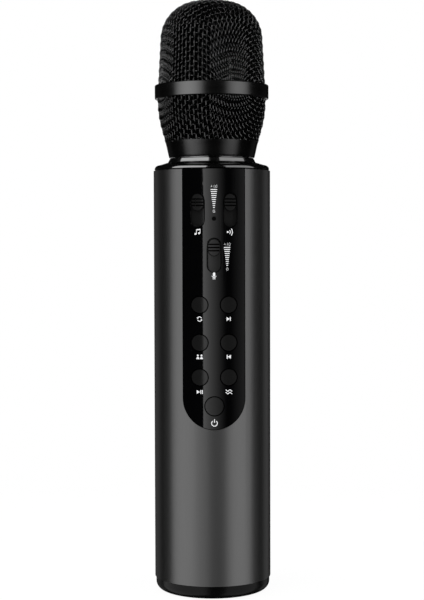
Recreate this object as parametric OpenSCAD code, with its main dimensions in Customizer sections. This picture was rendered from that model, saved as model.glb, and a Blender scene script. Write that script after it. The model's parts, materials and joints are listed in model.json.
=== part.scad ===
// Karaoke microphone with a built-in speaker: a straight aluminium tube with a curved control
// panel, a woven wire head that unscrews, three sliders and seven push buttons.
// Millimetres. The origin is the centre of the base, +Z runs up the tube, the controls face -Y.

/* [Body tube] */
// Outer diameter of the tube
tube_d = 52; // [50:0.5:56]
// Wall of the tube
tube_wall = 1.5; // [1.2:0.1:1.8]
// Length of the tube
tube_len = 181.4; // [178:0.2:196]

/* [Base cap] */
// Height of the base cap below the tube
base_h = 6; // [5:0.5:9]
// Step from the tube's side in to the base cap's side
base_inset = 0.5; // [0.2:0.1:1.2]
// Radius of the base cap's lower edge
base_edge_r = 3.5; // [1:0.25:3.75]
// Thickness of the base cap's floor
floor_t = 2.6; // [2.4:0.1:3.4]
// Height of the base cap's spigot inside the tube
base_spigot_h = 8; // [5:0.5:12]
// Wall of the spigots that locate the end pieces in the tube
spigot_wall = 1.5; // [1.2:0.1:1.8]
// Diameter of the screws that hold the base cap
base_screw_d = 2.4; // [2:0.1:2.6]
// Head height of the screws that hold the base cap
base_screw_head_h = 1.1; // [0.9:0.05:1.2]

/* [Speaker] */
// Thickness of the perforated speaker grille
speaker_grille_t = 0.8; // [0.6:0.1:1]
// Diameter of the speaker grille's holes
speaker_hole_d = 1.5; // [1.2:0.1:1.8]
// Spacing of the speaker grille's holes
speaker_hole_pitch = 2.7; // [2.5:0.1:3.2]
// Thickness of the speaker's gasket
gasket_t = 0.5; // [0.4:0.1:0.8]
// Width of the speaker's rim
speaker_rim_w = 3; // [2.5:0.1:3.4]
// Depth of the speaker's basket behind its rim
basket_depth = 8.2; // [7.5:0.1:10]
// Sheet thickness of the basket
basket_t = 0.8; // [0.6:0.1:1]
// Diameter of the magnet
magnet_d = 21.6; // [19:0.2:23]
// Height of the magnet
magnet_h = 7.7; // [7:0.1:9]
// Diameter of the voice coil at the middle of its winding
coil_d = 8.5; // [8:0.1:9]
// Stroke of the cone to each side of rest
cone_stroke = 0.5; // [0.3:0.1:0.6]

/* [Control panel] */
// Width of the panel across its straight sides
panel_w = 27.3; // [27:0.1:30]
// Length of the panel from the top of the tube to its round end
panel_len = 113; // [111:0.5:118]
// Reach of the panel's lip behind the tube's wall
panel_lip = 2.6; // [2:0.1:3]
// Thickness of the panel's lip
panel_lip_t = 0.8; // [0.6:0.1:1]
// Hairline between the panel and the tube
panel_gap = 0.3; // [0.1:0.05:0.4]
// Depth of the panel's face below the tube's face, which keeps its print from being rubbed
panel_sink = 0.05; // [0.05:0.05:0.2]

/* [Sliders] */
// Sideways place of the music and echo sliders
slider_x = 7.1; // [7.1:0.1:7.8]
// Drop from the tube's top to the middle of the music and echo slots
slider_drop = 17.8; // [17.6:0.1:19]
// Drop from the tube's top to the middle of the mic slot
mic_slider_drop = 37.3; // [37:0.1:39]
// Width of a slider slot
slot_w = 5.8; // [5.4:0.1:6]
// Length of a slider slot
slot_len = 14.6; // [13.5:0.1:15]
// Length of a slider knob
knob_len = 7.6; // [7.2:0.1:8.4]
// Room beside a slider knob
knob_gap = 0.44; // [0.3:0.02:0.46]
// Grooves across a slider knob
groove_count = 3; // [2:1:3]
// Spacing of the grooves
groove_pitch = 1.38; // [1.2:0.02:1.5]
// Width of a groove
groove_w = 0.6; // [0.4:0.05:0.8]
// Depth of a groove
groove_d = 0.7; // [0.3:0.05:0.7]
// Width of a fader's lever
lever_w = 1.6; // [1.4:0.1:2]
// Length of a fader's lever along its slot
lever_len = 3; // [2.6:0.1:3.4]
// Width of a fader's body
fader_w = 6.4; // [6:0.1:6.6]
// Height of a fader's body above the main board
fader_h = 4; // [3.4:0.1:4.2]

/* [Buttons] */
// Sideways place of the two button columns
button_x = 6.3; // [6.2:0.1:6.8]
// Drop from the tube's top to the mode and next buttons
mode_drop = 58.7; // [58:0.1:60]
// Drop from the tube's top to the duet and previous buttons
duet_drop = 75.1; // [74:0.1:76]
// Drop from the tube's top to the play and reverb buttons
play_drop = 90.1; // [89:0.1:91]
// Drop from the tube's top to the power button
power_drop = 102.6; // [102:0.1:103]
// Diameter of the six small buttons
button_d = 6.9; // [6.6:0.1:7.4]
// Diameter of the power button
power_d = 7.9; // [7.4:0.1:8.4]
// Room round a button
button_gap = 0.46; // [0.3:0.02:0.5]
// Travel of a button
button_travel = 0.6; // [0.4:0.05:0.7]
// Width of the lip that keeps a button behind the panel
button_lip = 0.9; // [0.7:0.1:1]
// Thickness of that lip
button_lip_t = 1; // [0.8:0.1:1.2]
// Depth of the flat land behind the buttons, below the tube's surface
land_depth = 3.6; // [3.4:0.1:3.8]
// Diameter of a button's stem
stem_d = 3.2; // [2.8:0.1:3.6]
// Diameter of the indicator's light pipe
pipe_d = 1.7; // [1.4:0.1:2]
// Drop from the tube's top to the indicator
pipe_drop = 21.5; // [21:0.1:21.8]

/* [Main board] */
// Depth of the board's front face below the tube's surface
board_depth = 11; // [10.8:0.1:11.4]
// Thickness of the circuit boards
board_t = 1.6; // [1.2:0.1:2]
// Width of the board
board_w = 35; // [33:0.5:36]
// Length of the board
board_len = 107; // [105:0.5:110]
// Diameter of the board's screws
board_screw_d = 1.9; // [1.7:0.1:2.1]
// Side of a push switch
switch_w = 6; // [5:0.1:6.2]
// Height of a push switch above the board
switch_h = 3.5; // [3.3:0.1:3.8]
// Diameter of a push switch's plunger
plunger_d = 3.4; // [3:0.1:3.6]

/* [Battery and frame] */
// Diameter of the rechargeable cell
cell_d = 18.4; // [18:0.1:18.8]
// Length of the cell
cell_len = 65; // [62:0.5:66]
// Drop from the tube's top to the cell
cell_drop = 22; // [21:0.5:24]
// Place of the cell behind the tube's axis
cell_y = 4.5; // [3:0.5:6]
// Wall of the inner frame's shell
frame_wall = 1.4; // [1.2:0.1:2]
// Thickness of the inner frame's ribs
rib_t = 2; // [1.6:0.1:2.6]
// Diameter of the inner frame's feet
foot_d = 4.8; // [4.4:0.1:5]

/* [Ports] */
// Depth of the port board below the tube's surface
port_depth = 13.5; // [12.5:0.1:14]
// Width of the port board
port_board_w = 26.8; // [24:0.2:28]
// Length of the port board
port_board_len = 31; // [29:0.5:32]
// Drop from the inner frame's floor to the audio jack
jack_drop = 15.8; // [14:0.1:17]
// Drop from the inner frame's floor to the charging socket
usb_drop = 27.8; // [26:0.1:28]
// Width of the charging socket
usb_w = 8.9; // [8.5:0.1:9.2]
// Height of the charging socket's mouth
usb_h = 3.3; // [3.1:0.1:3.5]
// Bore of the audio jack
jack_bore_d = 3.6; // [3.5:0.05:3.7]
// Outer diameter of the audio jack
jack_d = 6; // [5.6:0.1:6.6]

/* [Shoulder and neck] */
// Radius of the shoulder's rounded edge
shoulder_edge_r = 1.8; // [1.2:0.1:2.2]
// Step from the tube's wall in to the shoulder's edge
shoulder_inset = 0.4; // [0.2:0.1:0.6]
// Rise of the shoulder's top from its edge to the neck
shoulder_rise = 1.3; // [0.4:0.1:1.4]
// Height of the undercut that makes a shadow line between the shoulder and the tube
shoulder_seam_h = 0.6; // [0.3:0.1:0.8]
// Depth of that undercut
shoulder_seam_d = 0.4; // [0.2:0.1:0.6]
// Depth of the shoulder's spigot inside the tube
shoulder_spigot_h = 2.6; // [2:0.1:2.7]
// Diameter of the neck at its foot
neck_d = 39.2; // [37:0.2:40]
// Diameter of the neck at its top
neck_top_d = 37.7; // [36:0.1:38]
// Height of the neck
neck_h = 1.8; // [1.6:0.1:3]
// Outer diameter of the neck's screw thread
thread_d = 33; // [32:0.1:33.4]
// Length of the neck's screw thread
thread_len = 7.1; // [6:0.1:7.6]
// Wall of the neck's threaded part
thread_wall = 2.7; // [2.2:0.1:3]
// Height of the ring nut under the shoulder
nut_h = 3; // [2.5:0.1:4]
// Reach of the ring nut beyond the neck's foot
nut_w = 3.6; // [3:0.1:4]

/* [Capsule] */
// Diameter of the microphone capsule
capsule_d = 21; // [19:0.2:22]
// Height of the microphone capsule
capsule_h = 14.5; // [12:0.5:18]
// Wall of the rubber shock mount round the capsule
shock_t = 2.2; // [1.8:0.1:2.4]
// Height of the shock mount
shock_h = 5.5; // [4:0.5:7]
// Wall of the capsule holder
holder_wall = 1.9; // [1.4:0.1:2]
// Height of the capsule holder's cup
holder_h = 8.6; // [7:0.2:10]

/* [Head] */
// Diameter of the collar at its foot
collar_d = 38.4; // [37.8:0.1:39.6]
// Diameter of the collar at its top
collar_top_d = 41.4; // [40:0.1:42]
// Height of the bevel and the groove between the neck and the collar's side
groove_h = 1; // [0.6:0.1:1.6]
// Height of the collar's side
collar_h = 6.6; // [5:0.1:8]
// Height of the lower grille between the collar and the band
bowl_h = 18.7; // [16:0.1:20]
// Flare of the lower grille's foot
bowl_flare = 16; // [14:0.5:19]
// Radius of the lower grille's bulge
bowl_bulge_r = 45; // [24:1:50]
// Diameter of the two grilles at the band
rim_d = 48.4; // [46:0.1:49]
// Diameter of the band
band_d = 50.7; // [49.2:0.1:51.4]
// Height of the band
band_h = 6.2; // [5:0.2:8]
// Radius of the band's edges
band_edge_r = 0.5; // [0.2:0.05:0.6]
// Height of the upper grille above the band
dome_h = 37.7; // [35:0.1:42]
// Taper of the upper grille's side
dome_taper = 3.2; // [1:0.2:5]
// Radius of the upper grille's corner
dome_corner_r = 17; // [13:0.5:18]
// Radius of the upper grille's crown
dome_crown_r = 58; // [44:1:60]
// Thickness of the wire grilles
grille_t = 0.7; // [0.5:0.05:0.9]
// Width of a grille wire
wire_w = 0.95; // [0.7:0.05:1.2]
// Wires of the grille round the head
grille_columns = 30; // [24:2:36]
// Spacing of the grille's rows
grille_pitch = 3.4; // [3:0.1:4]
// Thickness of the foam liner
foam_t = 3; // [2:0.5:4]

/* [Clearances] */
// Room between pieces that are fixed to each other
fit_gap = 0.1; // [0.05:0.05:0.15]
// Room between pieces that move past each other
run_gap = 0.3; // [0.25:0.05:0.35]
// Room round the screws
screw_gap = 0.2; // [0.1:0.05:0.3]

/* [Hidden] */
$fn = 72;
over = 1;

tube_r = tube_d / 2;
tube_ir = tube_r - tube_wall;
tube_top = base_h + tube_len;
spigot_r = tube_ir - fit_gap;

base_r = tube_r - base_inset;
foot_r = foot_d / 2;
foot_place = spigot_r - spigot_wall - fit_gap - foot_r;
foot_angles = [20, 160, 270];
base_screw_r = base_screw_d / 2;
screw_head_ratio = 1.5;
base_screw_sink = 0.2;
base_screw_len = 8;
thread_bite = 0.05;

speaker_r = foot_place - foot_r - fit_gap * 4;
speaker_open_r = speaker_r - speaker_rim_w;
speaker_grille_r = speaker_r - fit_gap;
grille_sink = 0.4;
rim_low = floor_t + gasket_t;
rim_t = 1;
rim_high = rim_low + rim_t;
basket_high = rim_high + basket_depth;
magnet_r = magnet_d / 2;
magnet_high = basket_high + magnet_h;
coil_t = 0.7;
coil_r = coil_d / 2 + coil_t / 2;
pole_r = coil_d / 2 - coil_t / 2 - run_gap;
gap_r = coil_r + run_gap;
yoke_t = 2.2;
gap_high = magnet_high - yoke_t;
coil_spare = 1.5;
coil_high = gap_high - cone_stroke - coil_spare;
cone_low = rim_high;
cone_share = 0.64;
cone_high = cone_low + basket_depth * cone_share;
cone_t = 0.45;
roll_r = 1;
roll_t = 0.35;
roll_place = speaker_open_r - 3 * fit_gap - roll_r;
cone_r = roll_place - roll_r + roll_t;
dust_cap_r = 7;

panel_ir = spigot_r - panel_lip_t;
panel_r = tube_r - panel_sink;
button_rows = [for (drop = [mode_drop, duet_drop, play_drop, power_drop]) tube_top - drop];
panel_low = tube_top - panel_len;
lip_top = tube_top - shoulder_spigot_h - run_gap;

board_front = board_depth - tube_r;
board_back = board_front + board_t;
board_drop = 4.4;
board_high = tube_top - board_drop;
board_low = board_high - board_len;
board_screw_r = board_screw_d / 2;
board_screw_head_h = 1.2;
board_screw_head_r = board_screw_r * screw_head_ratio + screw_gap;
boss_r = 2;
boss_room = 1;
boss_x = slider_x + fader_w / 2 + boss_room + boss_r;
boss_drops = [6.9, 46.4];
boss_rows = [tube_top - boss_drops[0], tube_top - boss_drops[1], (button_rows[1] + button_rows[2]) / 2];
boss_depth = 4;

slider_names = ["music", "echo", "mic"];
slider_places = [[-slider_x, tube_top - slider_drop],
                 [slider_x, tube_top - slider_drop],
                 [0, tube_top - mic_slider_drop]];
knob_w = slot_w - 2 * knob_gap;
knob_end_gap = 0.15;
slider_travel = slot_len - knob_len - 2 * knob_end_gap;
knob_rise = (slot_len - knob_len) / 2 - knob_end_gap;
shield_r = panel_ir - run_gap;
shield_t = 0.8;
shield_lap = 0.4;
shield_w = slot_w + 2 * shield_lap;
shield_up = slot_len / 2 + shield_lap + slider_travel - knob_rise;
shield_down = slot_len / 2 + shield_lap + knob_rise;
knob_cover = 2;
lever_tip = knob_cover - tube_r;
lever_sink = 2;
lever_foot = board_front - fader_h + lever_sink;
fader_ends = 10;
fader_len = slider_travel + lever_len + fader_ends;

button_names = ["mode", "next", "duet", "previous", "play_pause", "reverb", "power"];
button_places = [[-button_x, button_rows[0]], [button_x, button_rows[0]],
                 [-button_x, button_rows[1]], [button_x, button_rows[1]],
                 [-button_x, button_rows[2]], [button_x, button_rows[2]],
                 [0, button_rows[3]]];
button_sizes = [for (name = button_names) name == "power" ? power_d : button_d];
land_y = land_depth - tube_r;
land_w = 2 * (button_x + button_d / 2 + button_lip + run_gap + fit_gap);
land_margin = button_lip + run_gap + fit_gap;
land_low = button_rows[3] - power_d / 2 - land_margin;
land_high = button_rows[0] + button_d / 2 + land_margin;
lip_front = land_y + run_gap;
lip_back = lip_front + button_lip_t;
switch_front = board_front - switch_h;
plunger_out = 0.8;
plunger_in = 1.2;
plunger_gap = 0.15;
plunger_tip = switch_front - plunger_out;
plunger_foot = switch_front + plunger_in;

pipe_z = tube_top - pipe_drop;
pipe_sink = 0.3;
led_h = 0.8;
led_w = 1.6;

frame_r = tube_ir - run_gap;
frame_tail = 8;
frame_low = panel_low - panel_lip - frame_tail;
frame_front = -6;
frame_back = board_back + fit_gap;
cell_r = cell_d / 2;
cell_gap = 0.2;
cell_high = tube_top - cell_drop;
cell_low = cell_high - cell_len;
cell_nub_r = 3;
cell_nub_h = 1;
cradle_inset = 12;
frame_high = board_high;

port_y = tube_r - port_depth;
port_top_gap = 1.8;
port_low = frame_low - port_top_gap - port_board_len;
usb_z = frame_low - usb_drop;
jack_z = frame_low - jack_drop;
port_sink = 1;
port_gap = 0.3;
rail_w = 2.4;
rail_grip = 1;
rail_t = 1.2;
usb_t = 0.3;
usb_tongue_w = 6.7;
usb_tongue_t = 0.7;
usb_back = 5.5;

shoulder_edge_z = tube_top + shoulder_seam_h;
shoulder_high = shoulder_edge_z + shoulder_edge_r + shoulder_rise;
thread_r = thread_d / 2;
thread_ir = thread_r - thread_wall;
neck_low = tube_top - nut_h;
neck_high = shoulder_high + neck_h;
neck_bevel = 0.3;
thread_high = neck_high + thread_len;

holder_skirt_h = 5;
holder_flange_h = 1.4;
capsule_r = capsule_d / 2;
shock_r = capsule_r + fit_gap + shock_t;
cup_r = shock_r + fit_gap + holder_wall;
cup_low = thread_high + holder_flange_h;
cup_high = cup_low + holder_h;
cup_floor_t = 1.2;
shock_low = cup_low + cup_floor_t;
capsule_low = shock_low;
capsule_high = capsule_low + capsule_h;
screen_t = 0.6;
screen_inset = 1.2;

collar_ir = thread_r + run_gap;
collar_low = neck_high + groove_h;
collar_lip = 2.2;
collar_lip_r = collar_ir + collar_lip;
collar_high = collar_low + collar_h;
band_low = collar_high + bowl_h;
band_high = band_low + band_h;
seam_z = (band_low + band_high) / 2;
apex_z = band_high + dome_h;
rim_r = rim_d / 2;
band_r = band_d / 2;
foot_band = 1.1;
foot_step = 0.25;
grille_rim_h = 0.7;
foam_off = grille_t + run_gap;
foam_lift = 0.1;
foam_low = collar_high + foam_lift;

// Lower grille: a flared foot, a bulge that is tangent to it, and a straight rim
bowl_foot_r = collar_top_d / 2 + foot_step;
bowl_turn_z = collar_high + (rim_r - bowl_foot_r - bowl_bulge_r * (1 - cos(bowl_flare))) / tan(bowl_flare);
bowl_centre = [rim_r - bowl_bulge_r, bowl_turn_z + bowl_bulge_r * sin(bowl_flare)];
bowl_normal = [cos(bowl_flare), -sin(bowl_flare)];

// Upper grille: the corner's centre lies at one radius from the tapered side and inside the crown
crown_z = apex_z - dome_crown_r;
function side_r(z, off) = rim_r - (z - seam_z) * tan(dome_taper) - off / cos(dome_taper);
function corner_miss(z) = norm([side_r(z, dome_corner_r), z - crown_z]) - (dome_crown_r - dome_corner_r);
function corner_height(low, high, steps) =
  let (mid = (low + high) / 2)
  steps == 0 ? mid
  : corner_miss(mid) > 0 ? corner_height(low, mid, steps - 1)
  : corner_height(mid, high, steps - 1);
corner_z = corner_height(band_high, apex_z, 40);
corner_centre = [side_r(corner_z, dome_corner_r), corner_z];
side_normal = [cos(dome_taper), sin(dome_taper)];
crown_normal = (corner_centre - [0, crown_z]) / norm(corner_centre - [0, crown_z]);
corner_from = dome_taper;
corner_to = atan2(crown_normal[1], crown_normal[0]);

// A ring round the Z axis
module ring(outer, inner, low, high) {
  rotate_extrude() translate([inner, low]) square([outer - inner, high - low]);
}

// A rod along Y, from its front end to its back end
module rod_y(r, front, back) {
  translate([0, front, 0]) rotate([-90, 0, 0]) cylinder(r = r, h = back - front);
}

// A box given by its corners
module box(low, high) {
  translate(low) cube(high - low);
}

// A prism along Y, drawn as it looks from the front
module prism_y(front, back) {
  translate([0, back, 0]) rotate([90, 0, 0]) linear_extrude(height = back - front) children();
}

// An upright pill
module pill(w, len) {
  for (end = [-1, 1]) translate([0, end * (len - w) / 2]) circle(d = w);
  square([w, len - w], center = true);
}

// Outline of the control panel seen from the front: a round end and straight sides
module panel_outline(grow) {
  end_z = panel_low + panel_w / 2;
  translate([0, end_z]) circle(d = panel_w + 2 * grow);
  translate([-panel_w / 2 - grow, end_z]) square([panel_w + 2 * grow, tube_top - end_z + over]);
}

module base_cap() {
  color("#161617") difference() {
    rotate_extrude() {
      translate([0, base_edge_r]) square([base_r, base_h - base_edge_r]);
      square([base_r - base_edge_r, base_h]);
      intersection() {
        translate([base_r - base_edge_r, base_edge_r]) circle(r = base_edge_r);
        square([base_r, base_edge_r]);
      }
      translate([0, base_h - over]) square([spigot_r, base_spigot_h + over]);
    }
    translate([0, 0, floor_t]) cylinder(r = spigot_r - spigot_wall, h = base_h + base_spigot_h);
    translate([0, 0, -over]) cylinder(r = speaker_open_r, h = floor_t + 2 * over);
    translate([0, 0, -over])
      cylinder(r = speaker_grille_r + fit_gap, h = over + grille_sink + speaker_grille_t);
    for (angle = foot_angles) rotate([0, 0, angle]) translate([foot_place, 0, -over]) {
      cylinder(r = base_screw_r + screw_gap, h = floor_t + 2 * over);
      cylinder(r = base_screw_r * screw_head_ratio + screw_gap,
               h = over + base_screw_sink + base_screw_head_h);
    }
  }
}

module base_screws() {
  head_high = base_screw_sink + base_screw_head_h;
  cross_len = 2.6;
  cross_w = 0.5;
  cross_d = 0.6;
  color("#8a8b8e") for (angle = foot_angles) rotate([0, 0, angle]) translate([foot_place, 0, 0]) {
    difference() {
      translate([0, 0, base_screw_sink]) cylinder(r = base_screw_r * screw_head_ratio, h = base_screw_head_h);
      for (turn = [0, 90]) rotate([0, 0, turn])
        box([-cross_len / 2, -cross_w / 2, 0], [cross_len / 2, cross_w / 2, base_screw_sink + cross_d]);
    }
    translate([0, 0, head_high - fit_gap]) cylinder(r = base_screw_r, h = base_screw_len);
  }
}

module speaker_grille() {
  rings = floor((speaker_open_r - speaker_hole_d) / speaker_hole_pitch);
  color("#232325") translate([0, 0, grille_sink]) difference() {
    cylinder(r = speaker_grille_r, h = speaker_grille_t);
    for (k = [0 : rings]) for (i = [0 : max(6 * k - 1, 0)])
      rotate([0, 0, i * 60 / max(k, 1)]) translate([k * speaker_hole_pitch, 0, -over])
        cylinder(d = speaker_hole_d, h = speaker_grille_t + 2 * over, $fn = 24);
  }
}

module speaker_gasket() {
  color("#0d0d0d") ring(speaker_r, speaker_open_r, floor_t, rim_low);
}

module speaker_basket() {
  window_w = 9;
  window_in = gap_r + 4;
  window_low = rim_high + 1.6;
  window_high = basket_high - 2;
  color("#55565a") difference() {
    rotate_extrude() {
      translate([speaker_open_r, rim_low]) square([speaker_r - speaker_open_r, rim_t]);
      polygon([[speaker_open_r, rim_high - basket_t / 2],
               [speaker_open_r + basket_t, rim_high - basket_t / 2],
               [magnet_r + basket_t, basket_high - basket_t], [magnet_r, basket_high],
               [gap_r, basket_high], [gap_r, basket_high - basket_t],
               [magnet_r, basket_high - basket_t]]);
    }
    for (turn = [45 : 90 : 315]) rotate([0, 0, turn])
      box([window_in, -window_w / 2, window_low], [speaker_r, window_w / 2, window_high]);
  }
}

module speaker_magnet() {
  color("#2e2f33") difference() {
    translate([0, 0, basket_high]) cylinder(r = magnet_r, h = magnet_h);
    ring(gap_r, pole_r, basket_high - over, gap_high);
  }
}

module speaker_surround() {
  color("#101010") rotate_extrude() intersection() {
    difference() {
      translate([roll_place, cone_low]) circle(r = roll_r);
      translate([roll_place, cone_low]) circle(r = roll_r - roll_t);
    }
    translate([0, cone_low - roll_r]) square([speaker_r, roll_r]);
  }
}

module speaker_cone() {
  cap_z = cone_high - cone_t + sqrt(pow(dust_cap_r, 2) - pow(coil_r, 2));
  color("#1c1c1e") rotate_extrude() {
    polygon([[cone_r - roll_t, cone_low], [cone_r, cone_low], [cone_r, cone_low + cone_t],
             [coil_r + cone_t, cone_high], [coil_r - coil_t, cone_high],
             [coil_r - coil_t, cone_high - cone_t], [coil_r, cone_high - cone_t]]);
    intersection() {
      difference() {
        translate([0, cap_z]) circle(r = dust_cap_r + cone_t);
        translate([0, cap_z]) circle(r = dust_cap_r);
      }
      translate([0, cone_low]) square([coil_r, cone_high - cone_low]);
    }
  }
}

module voice_coil() {
  color("#a5603a") ring(coil_r, coil_r - coil_t, cone_high, coil_high);
}

module body_tube() {
  color("#3b3c3f") difference() {
    ring(tube_r, tube_ir, base_h, tube_top);
    prism_y(-tube_r - over, 0) panel_outline(0);
    translate([0, 0, usb_z]) prism_y(0, tube_r + over) rotate(90)
      pill(usb_h + 2 * port_gap, usb_w + 2 * port_gap);
    translate([0, 0, jack_z]) rod_y(jack_d / 2 + port_gap, 0, tube_r + over);
  }
}

// A rib of the inner frame that fills the tube behind the main board
module frame_rib(low) {
  intersection() {
    translate([0, 0, low]) cylinder(r = frame_r, h = rib_t);
    box([-tube_r, frame_back, low], [tube_r, tube_r, low + rib_t]);
  }
}

module inner_frame() {
  rail_x = port_board_w / 2 - rail_grip;
  color("#77797c") difference() {
    union() {
      intersection() {
        ring(frame_r, frame_r - frame_wall, frame_low, frame_high);
        box([-tube_r, frame_front, frame_low], [tube_r, tube_r, frame_high]);
      }
      translate([0, 0, frame_low]) cylinder(r = frame_r, h = rib_t);
      for (low = [cell_low - fit_gap - rib_t, cell_low + cradle_inset, cell_high - cradle_inset - rib_t,
                  cell_high + cell_nub_h + fit_gap, frame_high - rib_t]) frame_rib(low);
      for (angle = foot_angles) rotate([0, 0, angle]) translate([foot_place, 0, floor_t])
        cylinder(r = foot_r, h = frame_low + rib_t / 2 - floor_t);
      for (side = [-1, 1]) box(
        [min(side * rail_x, side * (rail_x + rail_w)), port_y - board_t - rail_t, port_low],
        [max(side * rail_x, side * (rail_x + rail_w)), port_y + rail_t, frame_low + rib_t / 2]);
    }
    translate([0, cell_y, cell_low - fit_gap])
      cylinder(r = cell_r + cell_gap, h = cell_len + cell_nub_h + 2 * fit_gap);
    box([-port_board_w / 2 - fit_gap, port_y - board_t - fit_gap, port_low - over],
        [port_board_w / 2 + fit_gap, port_y + fit_gap, port_low + port_board_len + fit_gap]);
    for (angle = foot_angles) rotate([0, 0, angle]) translate([foot_place, 0, floor_t - over])
      cylinder(r = base_screw_r + thread_bite, h = base_screw_len);
    at_bosses()
      rod_y(board_screw_head_r + screw_gap, board_back, board_back + board_screw_head_h + screw_gap);
  }
}

module port_board() {
  color("#1f4d2b") box([-port_board_w / 2, port_y - board_t, port_low],
                       [port_board_w / 2, port_y, port_low + port_board_len]);
}

module usb_port() {
  mouth = tube_r - port_sink;
  color("#b9babd") translate([0, 0, usb_z]) {
    difference() {
      prism_y(port_y, mouth) rotate(90) pill(usb_h, usb_w);
      prism_y(port_y + usb_back, mouth + over) rotate(90) pill(usb_h - 2 * usb_t, usb_w - 2 * usb_t);
    }
    box([-usb_tongue_w / 2, port_y + usb_back - over, -usb_tongue_t / 2],
        [usb_tongue_w / 2, mouth - over, usb_tongue_t / 2]);
  }
}

module audio_jack() {
  mouth = tube_r - port_sink;
  color("#1a1a1b") translate([0, 0, jack_z]) difference() {
    rod_y(jack_d / 2, port_y, mouth);
    rod_y(jack_bore_d / 2, port_y + over, mouth + over);
  }
}

module battery_cell() {
  color("#2f5fa8") translate([0, cell_y, cell_low]) {
    cylinder(r = cell_r, h = cell_len);
    cylinder(r = cell_nub_r, h = cell_len + cell_nub_h);
  }
}

// The main board's screw places, seen from the front
module at_bosses() {
  for (z = boss_rows) for (side = [-1, 1]) translate([side * boss_x, 0, z]) children();
}

module main_board() {
  color("#1f4d2b") difference() {
    box([-board_w / 2, board_front, board_low], [board_w / 2, board_back, board_high]);
    at_bosses() rod_y(board_screw_r + screw_gap, board_front - over, board_back + over);
  }
}

module board_screws() {
  color("#8a8b8e") at_bosses() {
    rod_y(board_screw_head_r, board_back, board_back + board_screw_head_h);
    rod_y(board_screw_r, board_front - boss_depth + fit_gap, board_back + fit_gap);
  }
}

module tact_switches() {
  color("#28282a") for (place = button_places) translate([place[0], 0, place[1]]) difference() {
    box([-switch_w / 2, switch_front, -switch_w / 2], [switch_w / 2, board_front, switch_w / 2]);
    rod_y(plunger_d / 2 + plunger_gap, switch_front - over, plunger_foot + button_travel + run_gap);
  }
}

module fader_bodies() {
  slot_half = (slider_travel + lever_len) / 2 + run_gap;
  color("#3a3b3e") for (place = slider_places) translate([place[0], 0, place[1]]) difference() {
    box([-fader_w / 2, board_front - fader_h, -fader_len / 2], [fader_w / 2, board_front, fader_len / 2]);
    box([-lever_w / 2 - run_gap, board_front - fader_h - over, -slot_half],
        [lever_w / 2 + run_gap, lever_foot + run_gap, slot_half]);
  }
}

module indicator_led() {
  color("#e8e4d0") box([-led_w / 2, board_front - led_h, pipe_z - led_w / 4],
                       [led_w / 2, board_front, pipe_z + led_w / 4]);
}

module light_pipe() {
  color("#3c3c3e") translate([0, 0, pipe_z])
    rod_y(pipe_d / 2, pipe_sink - tube_r, board_front - led_h - fit_gap);
}

module control_panel() {
  color("#0e0e10") difference() {
    union() {
      intersection() {
        prism_y(-tube_r - over, 0) panel_outline(-panel_gap);
        rotate_extrude() polygon([[panel_ir, panel_low], [panel_r, panel_low], [panel_r, tube_top],
                                  [tube_ir, tube_top], [tube_ir, lip_top], [panel_ir, lip_top]]);
      }
      intersection() {
        prism_y(-tube_r - over, 0) panel_outline(panel_lip);
        ring(spigot_r, panel_ir, panel_low - panel_lip, lip_top);
      }
      intersection() {
        prism_y(-tube_r - over, 0) panel_outline(-panel_gap);
        box([-land_w / 2, -tube_r, land_low], [land_w / 2, land_y, land_high]);
        cylinder(r = (tube_r + panel_ir) / 2, h = tube_top);
      }
      intersection() {
        at_bosses() rod_y(boss_r, -tube_r, board_front);
        cylinder(r = (spigot_r + panel_ir) / 2, h = tube_top);
      }
    }
    box([-land_w / 2, land_y, land_low], [land_w / 2, 0, land_high]);
    for (place = slider_places) translate([place[0], 0, place[1]])
      prism_y(-tube_r - over, 0) pill(slot_w, slot_len);
    for (i = [0 : len(button_places) - 1]) translate([button_places[i][0], 0, button_places[i][1]])
      rod_y(button_sizes[i] / 2 + button_gap, -tube_r - over, 0);
    translate([0, 0, pipe_z]) rod_y(pipe_d / 2 + fit_gap, -tube_r - over, 0);
    at_bosses() rod_y(board_screw_r + thread_bite, board_front - boss_depth, board_front + over);
  }
}

// A push button: its face follows the tube, its lip sits behind the panel, its stem meets a switch
module button(i) {
  r = button_sizes[i] / 2;
  place = [button_places[i][0], 0, button_places[i][1]];
  color("#18181a") {
    intersection() {
      translate(place) rod_y(r, -tube_r - over, lip_front + button_lip_t / 2);
      cylinder(r = tube_r, h = tube_top);
    }
    translate(place) rod_y(r + button_lip, lip_front, lip_back);
    translate(place) rod_y(stem_d / 2, lip_back - button_lip_t / 2, plunger_tip);
  }
}

module plunger(i) {
  color("#c9c6bd") translate([button_places[i][0], 0, button_places[i][1]])
    rod_y(plunger_d / 2, plunger_tip, plunger_foot);
}

// A slider: a grooved knob in its slot, and the curved shield that closes the slot behind it
module slider(i) {
  x = slider_places[i][0];
  z = slider_places[i][1] + knob_rise;
  color("#242426") difference() {
    union() {
      intersection() {
        translate([x, 0, z]) prism_y(-tube_r - over, 0) pill(knob_w, knob_len);
        ring(tube_r, shield_r - shield_t / 2, 0, tube_top);
      }
      intersection() {
        ring(shield_r, shield_r - shield_t, z - shield_down, z + shield_up);
        box([x - shield_w / 2, -tube_r, 0], [x + shield_w / 2, 0, tube_top]);
      }
    }
    for (k = [0 : groove_count - 1]) {
      mid = z + (k - (groove_count - 1) / 2) * groove_pitch;
      ring(tube_r + over, tube_r - groove_d, mid - groove_w / 2, mid + groove_w / 2);
    }
    box([x - lever_w / 2 - fit_gap, lever_tip - fit_gap, z - lever_len / 2 - fit_gap],
        [x + lever_w / 2 + fit_gap, 0, z + lever_len / 2 + fit_gap]);
  }
}

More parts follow.
